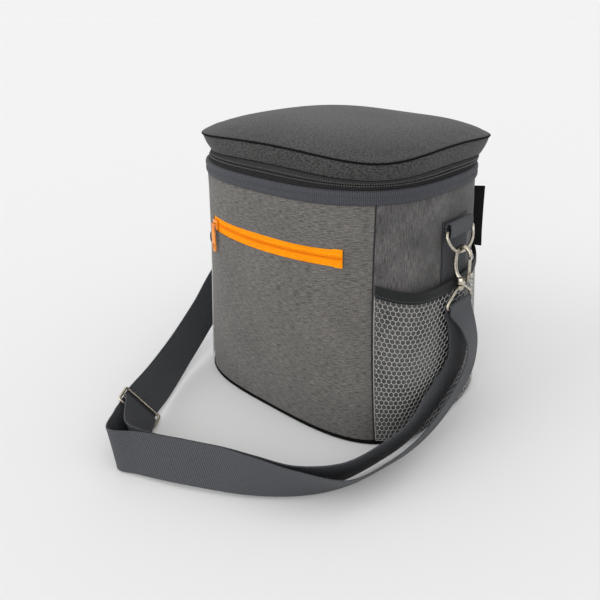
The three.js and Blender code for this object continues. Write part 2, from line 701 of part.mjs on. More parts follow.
const INNER_RUN = [
  [[-69.3, -207.2, 6.5], [-88.7, -223.6, 37.3]],
  [[-57, -222, 2], [-74, -235, 36]],
  [[-38, -246, 2.3], [-44, -251, 38.8]],
  [[-16, -255, 2.3], [-19, -246, 38.8]],
  [[14, -245, 2.2], [13, -231, 38.4]],
  [[50, -228, 2.2], [48, -217, 39.4]],
  [[80, -209, 2.1], [79, -208, 40.3]],
  [[108, -183, 2.1], [111, -195, 39.3]],
  [[127, -150, 2.4], [139, -165, 38]],
  [[138, -111, 4], [151, -125, 40]],
  [[145, -74, 8], [155, -92, 43]],
  [[148, -38, 20], [152, -60, 53]],
  [[149.5, -4, 36], [149.5, -36, 62]],
  [[149, 22, 56], [149.5, -17, 73]],
  [[147.3, 27, 82], [147.8, -12, 91]],
  [[145.4, 24, 108], [146, -16, 112]],
  [[144.6, 22, 120], [144.6, -18, 121]],
  [[144.4, 22, 127.5], [144.4, -18, 127.5]],
];

const ribbon = (stations, perStation) => {
  const edgeCurve = (edge) => {
    const points = stations.map((station) => vec(...station[edge]));
    return new THREE.CatmullRomCurve3(points, false, "centripetal");
  };
  const count = (stations.length - 1) * perStation;
  const low = edgeCurve(0);
  const high = edgeCurve(1);
  const loops = [];
  for (let i = 0; i <= count; i++) {
    const t = i / count;
    const centre = low.getPoint(t).add(high.getPoint(t)).multiplyScalar(0.5);
    const across = high.getPoint(t).sub(low.getPoint(t)).normalize();
    const along = low.getTangent(t).add(high.getTangent(t)).normalize();
    const normal = along.cross(across).normalize();
    const corner = (side, out) =>
      centre
        .clone()
        .addScaledVector(across, (side * WEBBING_WIDTH) / 2)
        .addScaledVector(normal, (out * WEBBING) / 2);
    loops.push([corner(-1, -1), corner(1, -1), corner(1, 1), corner(-1, 1)]);
  }
  return capped(loops);
};
add("strap_upper_run", ribbon(UPPER_RUN, 4), SLATE);
add("strap_outer_run", ribbon(OUTER_RUN, 4), SLATE);
add("strap_inner_run", ribbon(INNER_RUN, 4), SLATE);

// The sliding adjuster: a wire frame with a middle bar, between the two layers of webbing.
const frameHalf = WEBBING_WIDTH / 2 + 3;
const FRAME_REACH = 8.5;
const FRAME_CORNER = 1.8;
const FRAME_WIRE = 1.5;
const FRAME_BAR = 1.3;
const framePath = [];
for (const [sx, sy] of [[1, 1], [1, -1], [-1, -1], [-1, 1]]) {
  const near = sx === sy ? FRAME_CORNER : 0;
  const far = FRAME_CORNER - near;
  framePath.push(vec(sx * (frameHalf - near), sy * (FRAME_REACH - far), 0));
  framePath.push(vec(sx * (frameHalf - far), sy * (FRAME_REACH - near), 0));
}
const adjuster = joined(
  solidOf(roundRing(framePath, FRAME_WIRE)),
  pin("x", FRAME_BAR, 2 * frameHalf, 10, 0, 0, 0),
);
// Where it sits on the doubled run: its centre on the lower layer, lifted by half the stack.
const ADJUSTER_CENTRE = vec(-82.5, -217.3, 18.7);
const ADJUSTER_LIFT = 2.6;
const acrossStrap = vec(-19.4, -16.4, 30.8).normalize();
const towardsFold = vec(0.54, -0.836, -0.1);
const offStrap = acrossStrap.clone().cross(towardsFold).normalize();
const alongStrap = offStrap.clone().cross(acrossStrap);
const adjusterPlace = new THREE.Matrix4()
  .makeBasis(acrossStrap, alongStrap, offStrap)
  .setPosition(ADJUSTER_CENTRE.clone().addScaledVector(offStrap, ADJUSTER_LIFT));
add("strap_adjuster", placed(adjuster, adjusterPlace), METAL);

// ---------- label tab at the seam between the right side and the back ----------
const LABEL = { low: 155, high: 221, out: 13, half: 0.7 };
const labelFace = (side) => (u, v) => {
  const z = lerp(LABEL.low, LABEL.high, v);
  const seam = bodyPoint(seamAngle(z), z, -0.4);
  const out = vec(0.8, 0.6, 0);
  const along = vec(-0.6, 0.8, 0);
  return seam.addScaledVector(out, u * LABEL.out).addScaledVector(along, side * LABEL.half);
};
add("side_label", slab(labelFace(1), labelFace(-1), 1, 1), BLACK);

export default bag;
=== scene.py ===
"""Insulated cooler bag: the looks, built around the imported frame. Metres, +Z up, the front faces -Y."""

import logging
import math
from dataclasses import dataclass
from enum import Enum
from typing import Callable, Optional, Sequence

import bpy
from mathutils import Matrix, Vector, noise
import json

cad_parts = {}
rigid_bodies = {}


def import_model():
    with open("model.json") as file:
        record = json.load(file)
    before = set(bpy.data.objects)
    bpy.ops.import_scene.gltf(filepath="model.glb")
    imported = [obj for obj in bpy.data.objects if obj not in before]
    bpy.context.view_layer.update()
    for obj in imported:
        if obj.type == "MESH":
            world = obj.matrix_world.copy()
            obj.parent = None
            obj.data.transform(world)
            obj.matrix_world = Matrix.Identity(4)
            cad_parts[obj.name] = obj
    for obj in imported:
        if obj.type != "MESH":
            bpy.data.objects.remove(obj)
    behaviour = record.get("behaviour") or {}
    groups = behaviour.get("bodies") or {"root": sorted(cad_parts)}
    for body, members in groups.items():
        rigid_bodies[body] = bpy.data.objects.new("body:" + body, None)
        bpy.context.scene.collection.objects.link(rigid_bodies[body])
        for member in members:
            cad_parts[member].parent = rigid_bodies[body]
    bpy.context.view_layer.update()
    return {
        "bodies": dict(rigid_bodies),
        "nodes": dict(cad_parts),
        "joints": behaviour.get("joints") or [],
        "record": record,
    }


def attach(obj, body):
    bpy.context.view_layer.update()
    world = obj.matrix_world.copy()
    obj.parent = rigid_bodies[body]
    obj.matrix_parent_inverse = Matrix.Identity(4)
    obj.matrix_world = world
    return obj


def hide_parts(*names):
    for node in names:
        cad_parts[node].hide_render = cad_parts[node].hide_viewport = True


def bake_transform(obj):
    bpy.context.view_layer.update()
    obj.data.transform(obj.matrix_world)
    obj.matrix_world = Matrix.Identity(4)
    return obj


LOG = logging.getLogger("cooler_bag")
MM = 0.001
Place = Callable[[float, float], Vector]
Route = Callable[[float], Vector]


class Side(Enum):
    """The two sides of the bag, by the sign of their X."""

    RIGHT = 1
    LEFT = -1

    @property
    def label(self) -> str:
        """The side's name as it stands in node names."""
        return self.name.lower()


class Grain(Enum):
    """The way a cloth's slubs run: round the bag or up it."""

    AROUND = 0
    UP = 1


# ---------------------------------------------------------------- numbers


def lerp(a: float, b: float, t: float) -> float:
    """The value a share t of the way from a to b."""
    return a + (b - a) * t


def spaced(start: float, stop: float, count: int) -> list[float]:
    """Count equal steps from start to stop, both ends included."""
    return [lerp(start, stop, i / count) for i in range(count + 1)]


def in_mm(pairs: Sequence[tuple[float, float]]) -> list[tuple[float, float]]:
    """Pairs given in millimetres, in metres."""
    return [(a * MM, b * MM) for a, b in pairs]


def wobble(point: Vector, size: float, seed: float = 0.0) -> float:
    """Smooth noise from -1 to 1 that changes over a distance of size metres."""
    return noise.noise(point / size + Vector((seed, seed * 1.7, seed * 0.6)))


def catmull(points: Sequence[Vector], per_span: int) -> list[Vector]:
    """A centripetal curve through the points.

    Args:
        points: The points that the curve passes.
        per_span: Steps between two neighbouring points.

    Returns:
        The curve's points, ends included.
    """
    ends = [points[0] * 2 - points[1], *points, points[-1] * 2 - points[-2]]
    made = []
    for k in range(len(points) - 1):
        p0, p1, p2, p3 = ends[k : k + 4]
        d0, d1, d2 = ((b - a).length ** 0.5 for a, b in ((p0, p1), (p1, p2), (p2, p3)))
        first = ((p1 - p0) / d0 - (p2 - p0) / (d0 + d1) + (p2 - p1) / d1) * d1
        last = ((p2 - p1) / d1 - (p3 - p1) / (d1 + d2) + (p3 - p2) / d2) * d1
        for i in range(per_span + (k == len(points) - 2)):
            t = i / per_span
            a, b = 2 * t**3 - 3 * t**2 + 1, t**3 - 2 * t**2 + t
            c, d = -2 * t**3 + 3 * t**2, t**3 - t**2
            made.append(p1 * a + first * b + p2 * c + last * d)
    return made


# ---------------------------------------------------------------- mesh tools


def deselect() -> None:
    """Leaves nothing selected, so that an operator acts on one new piece."""
    bpy.ops.object.select_all(action="DESELECT")


def only(piece: bpy.types.Object) -> None:
    """Makes the piece the one selected and active object."""
    deselect()
    piece.select_set(True)
    bpy.context.view_layer.objects.active = piece


def shaped(piece: bpy.types.Object, kind: str, **values: object) -> None:
    """Adds a modifier of that kind to the piece and applies it."""
    only(piece)
    modifier = piece.modifiers.new(kind.lower(), kind)
    for key, value in values.items():
        setattr(modifier, key, value)
    bpy.ops.object.modifier_apply(modifier=modifier.name)


def edited(piece: bpy.types.Object, *steps: Callable[[], object]) -> None:
    """Runs edit-mode operators on the whole mesh of the piece."""
    only(piece)
    bpy.ops.object.mode_set(mode="EDIT")
    bpy.ops.mesh.select_all(action="SELECT")
    for step in steps:
        step()
    bpy.ops.object.mode_set(mode="OBJECT")


def weld(distance: float = 0.02 * MM) -> Callable[[], object]:
    """The edit step that joins points closer than distance."""
    return lambda: bpy.ops.mesh.remove_doubles(threshold=distance)


def outward() -> object:
    """The edit step that turns every face of a closed shape outwards."""
    return bpy.ops.mesh.normals_make_consistent(inside=False)


def settled(piece: bpy.types.Object, angle: float = 40) -> None:
    """Puts the piece's place into its mesh and smooths it below that angle in degrees."""
    only(piece)
    bpy.ops.object.transform_apply(location=True, rotation=True, scale=True)
    bpy.ops.object.shade_smooth_by_angle(angle=math.radians(angle))


def sheet_of(name: str, columns: Sequence[float], rows: Sequence[float], place: Place) -> bpy.types.Object:
    """A grid laid over a surface, with a UV map in metres.

    Args:
        name: The new piece's name.
        columns: The first parameter at each column.
        rows: The second parameter at each row.
        place: The point for two parameters; the first runs anticlockwise and the second up on an outer face.

    Returns:
        The grid, one layer thick.
    """
    deselect()
    bpy.ops.mesh.primitive_grid_add(x_subdivisions=len(columns) - 1, y_subdivisions=len(rows) - 1, size=1)
    piece = bpy.context.object
    piece.name = name
    wide = len(columns)
    points = [place(u, v) for v in rows for u in columns]
    for vertex, point in zip(piece.data.vertices, points):
        vertex.co = point
    middle = len(rows) // 2 * wide
    across, up = [0.0], [0.0]
    for i in range(1, wide):
        across.append(across[-1] + (points[middle + i] - points[middle + i - 1]).length)
    for j in range(1, len(rows)):
        up.append(up[-1] + (points[j * wide + wide // 2] - points[(j - 1) * wide + wide // 2]).length)
    layer = piece.data.uv_layers.active.data
    for loop in piece.data.loops:
        layer[loop.index].uv = (across[loop.vertex_index % wide], up[loop.vertex_index // wide])
    piece.data.update()
    return piece


def cloth_of(piece: bpy.types.Object, thickness: float, roll: float = 0.5 * MM) -> bpy.types.Object:
    """Gives a one-layer sheet its thickness, inwards, and rolls its edges."""
    shaped(piece, "SOLIDIFY", thickness=thickness, offset=-1)
    if roll:
        shaped(piece, "BEVEL", width=roll, segments=2, limit_method="ANGLE", angle_limit=math.radians(60))
    settled(piece)
    return piece


def tube_of(
    name: str,
    points: Sequence[Vector],
    radius: float,
    closed: bool = False,
    sides: int = 4,
    radii: Optional[Sequence[float]] = None,
) -> bpy.types.Object:
    """A round tube along points, made as a bevelled curve and turned into a mesh.

    Args:
        name: The new piece's name.
        points: The centreline.
        radius: The tube's radius.
        closed: Whether the line joins its own start.
        sides: The bevel's resolution, a quarter of the round's sides less one.
        radii: A share of the radius at each point, for a taper.

    Returns:
        The mesh tube, its ends capped where it is open.
    """
    data = bpy.data.curves.new(name, "CURVE")
    data.dimensions = "3D"
    data.bevel_depth = radius
    data.bevel_resolution = sides - 2
    data.use_fill_caps = not closed
    spline = data.splines.new("POLY")
    spline.points.add(len(points) - 1)
    for i, point in enumerate(points):
        spline.points[i].co = (*point, 1)
        spline.points[i].radius = radii[i] if radii else 1
    spline.use_cyclic_u = closed
    piece = bpy.data.objects.new(name, data)
    bpy.context.scene.collection.objects.link(piece)
    only(piece)
    bpy.ops.object.convert(target="MESH")
    made = bpy.context.object
    edited(made, weld(), outward)
    settled(made)
    return made


def plate_of(name: str, outlines: Sequence[Sequence[Vector]], half: float, roll: float) -> bpy.types.Object:
    """A flat plate in XY from closed outlines, the later ones holes, half a thickness each way.

    Args:
        name: The new piece's name.
        outlines: The outer outline and its holes, as points in XY.
        half: Half the plate's thickness.
        roll: The rounding of its edges.

    Returns:
        The plate, lying on its middle plane.
    """
    data = bpy.data.curves.new(name, "CURVE")
    data.dimensions = "2D"
    data.fill_mode = "BOTH"
    data.extrude = half - roll
    data.bevel_depth = roll
    data.bevel_resolution = 2
    data.offset = -roll
    for outline in outlines:
        spline = data.splines.new("POLY")
        spline.points.add(len(outline) - 1)
        for i, point in enumerate(outline):
            spline.points[i].co = (point.x, point.y, 0, 1)
        spline.use_cyclic_u = True
    piece = bpy.data.objects.new(name, data)
    bpy.context.scene.collection.objects.link(piece)
    only(piece)
    bpy.ops.object.convert(target="MESH")
    made = bpy.context.object
    edited(made, weld(), outward)
    return made


def round_outline(half_long: float, half_wide: float, steps: int = 24, y: float = 0.0) -> list[Vector]:
    """A slot with round ends, long in Y, centred at height y."""
    straight = half_long - half_wide
    made = []
    for i in range(steps):
        angle = 2 * math.pi * i / steps
        side = math.copysign(straight, math.sin(angle)) if abs(math.sin(angle)) > 1e-6 else 0
        made.append(Vector((half_wide * math.cos(angle), y + side + half_wide * math.sin(angle), 0)))
    return made


def rounded_block(name: str, size: Sequence[float], centre: Sequence[float], roll: float) -> bpy.types.Object:
    """A block with rolled edges at its place."""
    deselect()
    bpy.ops.mesh.primitive_cube_add(size=1, location=centre)
    piece = bpy.context.object
    piece.name = name
    piece.scale = size
    bpy.ops.object.transform_apply(location=True, rotation=True, scale=True)
    shaped(piece, "BEVEL", width=roll, segments=3)
    return piece


def turned_post(name: str, rings: Sequence[tuple[float, float]], steps: int = 24) -> bpy.types.Object:
    """A turned shape about Z: a one-sided circle extruded through (radius, height) rings.

    Args:
        name: The new piece's name.
        rings: Radius and height of each ring, from below upwards.
        steps: Points on each ring.

    Returns:
        The closed shape.
    """
    deselect()
    radius, height = rings[0]
    bpy.ops.mesh.primitive_circle_add(
        vertices=steps, radius=radius, fill_type="NGON", location=(0, 0, height)
    )
    piece = bpy.context.object
    piece.name = name
    bpy.ops.object.transform_apply(location=True, rotation=True, scale=True)
    bpy.ops.object.mode_set(mode="EDIT")
    bpy.ops.mesh.select_all(action="SELECT")
    for before, after in zip(rings, rings[1:]):
        bpy.ops.mesh.extrude_region_move(TRANSFORM_OT_translate={"value": (0, 0, after[1] - before[1])})
        share = after[0] / before[0]
        bpy.ops.transform.resize(value=(share, share, 1), center_override=(0, 0, after[1]))
    bpy.ops.mesh.select_all(action="SELECT")
    outward()
    bpy.ops.object.mode_set(mode="OBJECT")
    return piece


def joined(name: str, *pieces: bpy.types.Object) -> bpy.types.Object:
    """One object from several, under one name."""
    deselect()
    for piece in pieces:
        piece.select_set(True)
    bpy.context.view_layer.objects.active = pieces[0]
    bpy.ops.object.join()
    made = bpy.context.object
    made.name = name
    return made


def placed(piece: bpy.types.Object, matrix: Matrix) -> bpy.types.Object:
    """Moves the piece's mesh by a matrix; a mirroring one has its faces turned back."""
    piece.data.transform(matrix)
    if matrix.determinant() < 0:
        piece.data.flip_normals()
    piece.data.update()
    return piece


def repeated(name: str, unit: bpy.types.Object, places: Sequence[Matrix]) -> bpy.types.Object:
    """One mesh that holds a copy of the unit at each place; the unit itself is removed."""
    points = [v.co.copy() for v in unit.data.vertices]
    faces = [list(p.vertices) for p in unit.data.polygons]
    count = len(points)
    all_points = [matrix @ p for matrix in places for p in points]
    all_faces = [[i + k * count for i in face] for k in range(len(places)) for face in faces]
    data = bpy.data.meshes.new(name)
    data.from_pydata(all_points, [], all_faces)
    data.update()
    piece = bpy.data.objects.new(name, data)
    bpy.context.scene.collection.objects.link(piece)
    bpy.data.objects.remove(unit)
    settled(piece, 60)
    return piece


def frame_at(here: Vector, along: Vector, out: Vector) -> Matrix:
    """A place whose X runs along and whose Z points out."""
    x = along.normalized()
    y = out.cross(x).normalized()
    z = x.cross(y)
    return Matrix.Translation(here) @ Matrix((x, y, z)).transposed().to_4x4()


def along_route(route: Route, pitch: float, steps: int = 400) -> list[tuple[Vector, Vector]]:
    """Evenly spaced points on a route with the direction there.

    Args:
        route: The point at a share from 0 to 1.
        pitch: The distance between two points.
        steps: How finely the route is measured.

    Returns:
        A list of (point, direction).
    """
    line = [route(i / steps) for i in range(steps + 1)]
    made, gone, wanted = [], 0.0, pitch / 2
    for a, b in zip(line, line[1:]):
        length = (b - a).length
        while gone + length >= wanted:
            made.append((a.lerp(b, (wanted - gone) / max(length, 1e-9)), (b - a).normalized()))
            wanted += pitch
        gone += length
    return made


def stitches(
    name: str, route: Route, out: Callable[[Vector], Vector], pitch: float = 3.2 * MM
) -> bpy.types.Object:
    """A row of thread stitches along a route.

    Args:
        name: The new piece's name.
        route: The row's line, on the cloth.
        out: The way off the cloth at a point.
        pitch: From one stitch to the next.

    Returns:
        All stitches as one mesh.
    """
    deselect()
    bpy.ops.mesh.primitive_uv_sphere_add(segments=6, ring_count=4, radius=1)
    unit = bpy.context.object
    unit.scale = (pitch * 0.38, 0.3 * MM, 0.28 * MM)
    bpy.ops.object.transform_apply(location=True, rotation=True, scale=True)
    places = [frame_at(here, way, out(here)) for here, way in along_route(route, pitch)]
    return repeated(name, unit, places)


# ---------------------------------------------------------------- node groups and finishes


class Nodes:
    """A node tree with short calls to add and link nodes."""

    def __init__(self, tree: bpy.types.NodeTree) -> None:
        """Keeps the tree that nodes are added to."""
        self.tree = tree

    def add(self, kind: str, inputs: Optional[dict] = None, **values: object) -> bpy.types.Node:
        """Adds a node.

        Args:
            kind: The node's type.
            inputs: Plain values or source sockets by input name or number.
            values: The node's own properties.

        Returns:
            The new node.
        """
        node = self.tree.nodes.new(kind)
        for key, value in values.items():
            setattr(node, key, value)
        for key, value in (inputs or {}).items():
            if isinstance(value, bpy.types.NodeSocket):
                self.tree.links.new(value, node.inputs[key])
            else:
                node.inputs[key].default_value = value
        return node

    def math(self, operation: str, a: object, b: object = 0.0) -> bpy.types.NodeSocket:
        """The result of a math node on two numbers or sockets."""
        return self.add("ShaderNodeMath", {0: a, 1: b}, operation=operation).outputs[0]

    def blend(self, share: object, first: object, second: object) -> bpy.types.NodeSocket:
        """The mix of two colours by a share."""
        node = self.add("ShaderNodeMix", data_type="RGBA")
        for index, value in ((0, share), (6, first), (7, second)):
            if isinstance(value, bpy.types.NodeSocket):
                self.tree.links.new(value, node.inputs[index])
            else:
                node.inputs[index].default_value = value
        return node.outputs[2]


def group_of(
    name: str, takes: Sequence[tuple[str, str]], gives: Sequence[tuple[str, str]]
) -> tuple[Nodes, object, object]:
    """A new shader node group.

    Args:
        name: The group's name.
        takes: Name and socket type of each input.
        gives: Name and socket type of each output.

    Returns:
        The group's nodes, its input node and its output node.
    """
    tree = bpy.data.node_groups.new(name, "ShaderNodeTree")
    for label, kind in takes:
        tree.interface.new_socket(name=label, in_out="INPUT", socket_type=kind)
    for label, kind in gives:
        tree.interface.new_socket(name=label, in_out="OUTPUT", socket_type=kind)
    nodes = Nodes(tree)
    return nodes, nodes.add("NodeGroupInput"), nodes.add("NodeGroupOutput")


def heather_group() -> bpy.types.NodeTree:
    """Slubby yarn: a 0 to 1 fleck mask, long along the grain, and a broad cloudy one."""
    nodes, given, out = group_of(
        "heather",
        [
            ("Vector", "NodeSocketVector"),
            ("Grain Turn", "NodeSocketVector"),
            ("Fleck Length", "NodeSocketFloat"),
        ],
        [("Fleck", "NodeSocketFloat"), ("Cloud", "NodeSocketFloat")],
    )
    turn = {"Vector": given.outputs[0], "Rotation": given.outputs[1]}
    turned = nodes.add("ShaderNodeMapping", turn).outputs[0]
    parts = nodes.add("ShaderNodeSeparateXYZ", {0: turned})
    along = nodes.math("DIVIDE", parts.outputs[0], given.outputs[2])
    across = nodes.math("DIVIDE", parts.outputs[1], 0.00075)
    slub = nodes.add("ShaderNodeCombineXYZ", {0: along, 1: across})
    fine = nodes.add(
        "ShaderNodeTexNoise",
        {"Vector": slub.outputs[0], "Scale": 1.0, "Detail": 3.0, "Roughness": 0.65},
    )
    warp = nodes.add(
        "ShaderNodeCombineXYZ",
        {
            0: nodes.math("DIVIDE", parts.outputs[0], 0.0009),
            1: nodes.math("DIVIDE", parts.outputs[1], 0.0042),
        },
    )
    cross = nodes.add("ShaderNodeTexNoise", {"Vector": warp.outputs[0], "Scale": 1.0, "Detail": 2.0})
    most_of = nodes.math("MULTIPLY", fine.outputs[0], 0.8)
    rest_of = nodes.math("MULTIPLY", cross.outputs[0], 0.2)
    both = nodes.math("ADD", most_of, rest_of)
    spread = nodes.add("ShaderNodeMapRange", {0: both, 1: 0.34, 2: 0.66})
    cloud = nodes.add("ShaderNodeTexNoise", {"Vector": given.outputs[0], "Scale": 22.0, "Detail": 2.0})
    nodes.tree.links.new(spread.outputs[0], out.inputs[0])
    nodes.tree.links.new(cloud.outputs[0], out.inputs[1])
    return nodes.tree


def weave_group() -> bpy.types.NodeTree:
    """Plain weave: a height where warp and weft cross at a pitch."""
    nodes, given, out = group_of(
        "plain_weave",
        [("Vector", "NodeSocketVector"), ("Pitch", "NodeSocketFloat")],
        [("Height", "NodeSocketFloat")],
    )
    parts = nodes.add("ShaderNodeSeparateXYZ", {0: given.outputs[0]})
    waves = []
    for index in (0, 1):
        turns = nodes.math("DIVIDE", parts.outputs[index], given.outputs[1])
        waves.append(nodes.math("SINE", nodes.math("MULTIPLY", turns, 2 * math.pi)))
    crossed = nodes.math("MULTIPLY", waves[0], waves[1])
    nodes.tree.links.new(nodes.math("ADD", nodes.math("MULTIPLY", crossed, 0.5), 0.5), out.inputs[0])
    return nodes.tree


def rib_group() -> bpy.types.NodeTree:
    """Ribs across a tape that zigzag over its width, as a height."""
    nodes, given, out = group_of(
        "tape_ribs",
        [
            ("Vector", "NodeSocketVector"),
            ("Pitch", "NodeSocketFloat"),
            ("Zigzag", "NodeSocketFloat"),
            ("Skew", "NodeSocketFloat"),
        ],
        [("Height", "NodeSocketFloat")],
    )
    parts = nodes.add("ShaderNodeSeparateXYZ", {0: given.outputs[0]})
    saw = nodes.math("PINGPONG", parts.outputs[0], given.outputs[2])
    shifted = nodes.math("ADD", parts.outputs[1], nodes.math("MULTIPLY", saw, given.outputs[3]))
    turns = nodes.math("DIVIDE", shifted, given.outputs[1])
    wave = nodes.math("SINE", nodes.math("MULTIPLY", turns, 2 * math.pi))
    nodes.tree.links.new(nodes.math("ADD", nodes.math("MULTIPLY", wave, 0.5), 0.5), out.inputs[0])
    return nodes.tree


def wear_group() -> bpy.types.NodeTree:
    """Soft dust and rub marks, as a 0 to 1 mask on the object's own coordinates."""
    nodes, given, out = group_of(
        "rub_marks",
        [("Vector", "NodeSocketVector"), ("Size", "NodeSocketFloat")],
        [("Mask", "NodeSocketFloat")],
    )
    scaled = nodes.add("ShaderNodeVectorMath", {0: given.outputs[0]}, operation="SCALE")
    nodes.tree.links.new(nodes.math("DIVIDE", 1.0, given.outputs[1]), scaled.inputs["Scale"])
    marks = nodes.add(
        "ShaderNodeTexNoise",
        {"Vector": scaled.outputs[0], "Scale": 1.0, "Detail": 5.0, "Roughness": 0.6},
    )
    spread = nodes.add("ShaderNodeMapRange", {0: marks.outputs[0], 1: 0.38, 2: 0.72})
    nodes.tree.links.new(spread.outputs[0], out.inputs[0])
    return nodes.tree


class Shop:
    """The node groups that several finishes share, each made once."""

    made: dict = {}

    @classmethod
    def group(cls, name: str) -> bpy.types.NodeTree:
        """The shared group of that name."""
        makers = {"heather": heather_group, "weave": weave_group, "ribs": rib_group, "wear": wear_group}
        if name not in cls.made:
            cls.made[name] = makers[name]()
        return cls.made[name]


def started(name: str) -> tuple[Nodes, bpy.types.Node, bpy.types.Material]:
    """A new material with its nodes and its shader."""
    made = bpy.data.materials.new(name)
    made.use_nodes = True
    nodes = Nodes(made.node_tree)
    return nodes, made.node_tree.nodes["Principled BSDF"], made


def use(nodes: Nodes, name: str, **inputs: object) -> bpy.types.Node:
    """Places a shared group in a material with its values."""
    node = nodes.add("ShaderNodeGroup", node_tree=Shop.group(name))
    for key, value in inputs.items():
        socket = node.inputs[key.replace("_", " ")]
        if isinstance(value, bpy.types.NodeSocket):
            nodes.tree.links.new(value, socket)
        else:
            socket.default_value = value
    return node


def bump(nodes: Nodes, shader: bpy.types.Node, height: object, depth: float, strength: float) -> None:
    """Feeds a height to the shader's normal."""
    node = nodes.add("ShaderNodeBump", {"Height": height, "Distance": depth, "Strength": strength})
    nodes.tree.links.new(node.outputs[0], shader.inputs["Normal"])


Colour = tuple[float, float, float, float]


@dataclass(frozen=True)
class Cloth:
    """Woven cloth of slubby yarn."""

    name: str
    dark: Colour
    light: Colour
    grain: Grain = Grain.AROUND
    fleck: float = 6 * MM
    pitch: float = 0.9 * MM
    sheen: float = 0.12
    coarse: float = 1.0
    # How strongly cloudy patches are darkened; raised on the side walls, where the patches are painted shade
    # of dents and wrinkles.
    cloud: float = 0.16

    def made(self) -> bpy.types.Material:
        """The finished material."""
        nodes, shader, material = started(self.name)
        uv = nodes.add("ShaderNodeTexCoord").outputs["UV"]
        share = 1 / self.coarse
        uv = nodes.add("ShaderNodeMapping", {"Vector": uv, "Scale": (share, share, share)}).outputs[0]
        turn = math.radians(90) if self.grain is Grain.UP else 0
        yarn = use(nodes, "heather", Vector=uv, Grain_Turn=(0, 0, turn), Fleck_Length=self.fleck)
        base = nodes.blend(yarn.outputs["Fleck"], self.dark, self.light)
        # Cloudy patches darken towards 0.6 of the dark colour by the cloud share; where that share is strong
        # it is painted shade of dents and wrinkles.
        clouded = {0: yarn.outputs["Cloud"], 1: 0.35, 2: 0.68, 3: 0.0, 4: self.cloud}
        shade = nodes.add("ShaderNodeMapRange", clouded)
        patch_shade_colour = tuple(c * 0.6 for c in self.dark[:3]) + (1,)
        nodes.tree.links.new(nodes.blend(shade.outputs[0], base, patch_shade_colour), shader.inputs["Base Color"])
        rough = nodes.add("ShaderNodeMapRange", {0: yarn.outputs["Fleck"], 3: 0.92, 4: 0.78})
        nodes.tree.links.new(rough.outputs[0], shader.inputs["Roughness"])
        shader.inputs["Sheen Weight"].default_value = self.sheen
        shader.inputs["Specular IOR Level"].default_value = 0.15
        weave = use(nodes, "weave", Vector=uv, Pitch=self.pitch)
        height = nodes.math("ADD", weave.outputs[0], nodes.math("MULTIPLY", yarn.outputs["Fleck"], 0.9))
        bump(nodes, shader, height, 0.12 * MM, 0.7)
        return material


@dataclass(frozen=True)
class Tape:
    """Ribbed woven tape or webbing."""

    name: str
    dark: Colour
    light: Colour
    pitch: float = 1.7 * MM
    zigzag: float = 3.2 * MM
    skew: float = 0.7
    depth: float = 0.35 * MM
    turned: bool = False

    def made(self) -> bpy.types.Material:
        """The finished material."""
        nodes, shader, material = started(self.name)
        uv = nodes.add("ShaderNodeTexCoord").outputs["UV"]
        if self.turned:
            quarter = {"Vector": uv, "Rotation": (0, 0, math.radians(90))}
            uv = nodes.add("ShaderNodeMapping", quarter).outputs[0]
        ribs = use(nodes, "ribs", Vector=uv, Pitch=self.pitch, Zigzag=self.zigzag, Skew=self.skew)
        yarn = use(nodes, "heather", Vector=uv, Grain_Turn=(0, 0, 0), Fleck_Length=2.4 * MM)
        # The rib height also sets the colour, dark in the grooves and light on the crests: painted shade and
        # highlight of the ribs, mixed with the yarn's own flecks.
        rib_light_and_shade = nodes.math("MULTIPLY", ribs.outputs[0], 0.65)
        share = nodes.math("ADD", rib_light_and_shade, nodes.math("MULTIPLY", yarn.outputs["Fleck"], 0.35))
        nodes.tree.links.new(nodes.blend(share, self.dark, self.light), shader.inputs["Base Color"])
        rough = nodes.add("ShaderNodeMapRange", {0: yarn.outputs["Cloud"], 3: 0.72, 4: 0.5})
        nodes.tree.links.new(rough.outputs[0], shader.inputs["Roughness"])
        shader.inputs["Sheen Weight"].default_value = 0.03
        shader.inputs["Specular IOR Level"].default_value = 0.2
        fine = nodes.math("MULTIPLY", yarn.outputs["Fleck"], 0.25)
        bump(nodes, shader, nodes.math("ADD", ribs.outputs[0], fine), self.depth, 0.8)
        return material


@dataclass(frozen=True)
class Plastic:
    """Moulded or enamelled plastic with faint rub marks."""

    name: str
    colour: Colour
    rubbed: Colour
    shine: float = 0.35
    coat: float = 0.0
    specular: float = 0.5

    def made(self) -> bpy.types.Material:
        """The finished material."""
        nodes, shader, material = started(self.name)
        here = nodes.add("ShaderNodeTexCoord").outputs["Object"]
        marks = use(nodes, "wear", Vector=here, Size=2.5 * MM)
        light = nodes.math("MULTIPLY", marks.outputs[0], 0.35)
        nodes.tree.links.new(nodes.blend(light, self.colour, self.rubbed), shader.inputs["Base Color"])
        rough = nodes.add("ShaderNodeMapRange", {0: marks.outputs[0], 3: self.shine, 4: self.shine + 0.2})
        nodes.tree.links.new(rough.outputs[0], shader.inputs["Roughness"])
        shader.inputs["Coat Weight"].default_value = self.coat
        shader.inputs["Specular IOR Level"].default_value = self.specular
        bump(nodes, shader, marks.outputs[0], 0.03 * MM, 0.4)
        return material


@dataclass(frozen=True)
class Metal:
    """Plated metal, a little scuffed."""

    name: str
    bright: Colour
    dull: Colour
    shine: float = 0.18

    def made(self) -> bpy.types.Material:
        """The finished material."""
        nodes, shader, material = started(self.name)
        here = nodes.add("ShaderNodeTexCoord").outputs["Object"]
        marks = use(nodes, "wear", Vector=here, Size=3 * MM)
        colour = nodes.blend(marks.outputs[0], self.bright, self.dull)
        nodes.tree.links.new(colour, shader.inputs["Base Color"])
        rough = nodes.add("ShaderNodeMapRange", {0: marks.outputs[0], 3: self.shine, 4: self.shine + 0.16})
        nodes.tree.links.new(rough.outputs[0], shader.inputs["Roughness"])
        shader.inputs["Metallic"].default_value = 1
        bump(nodes, shader, marks.outputs[0], 0.02 * MM, 0.35)
        return material


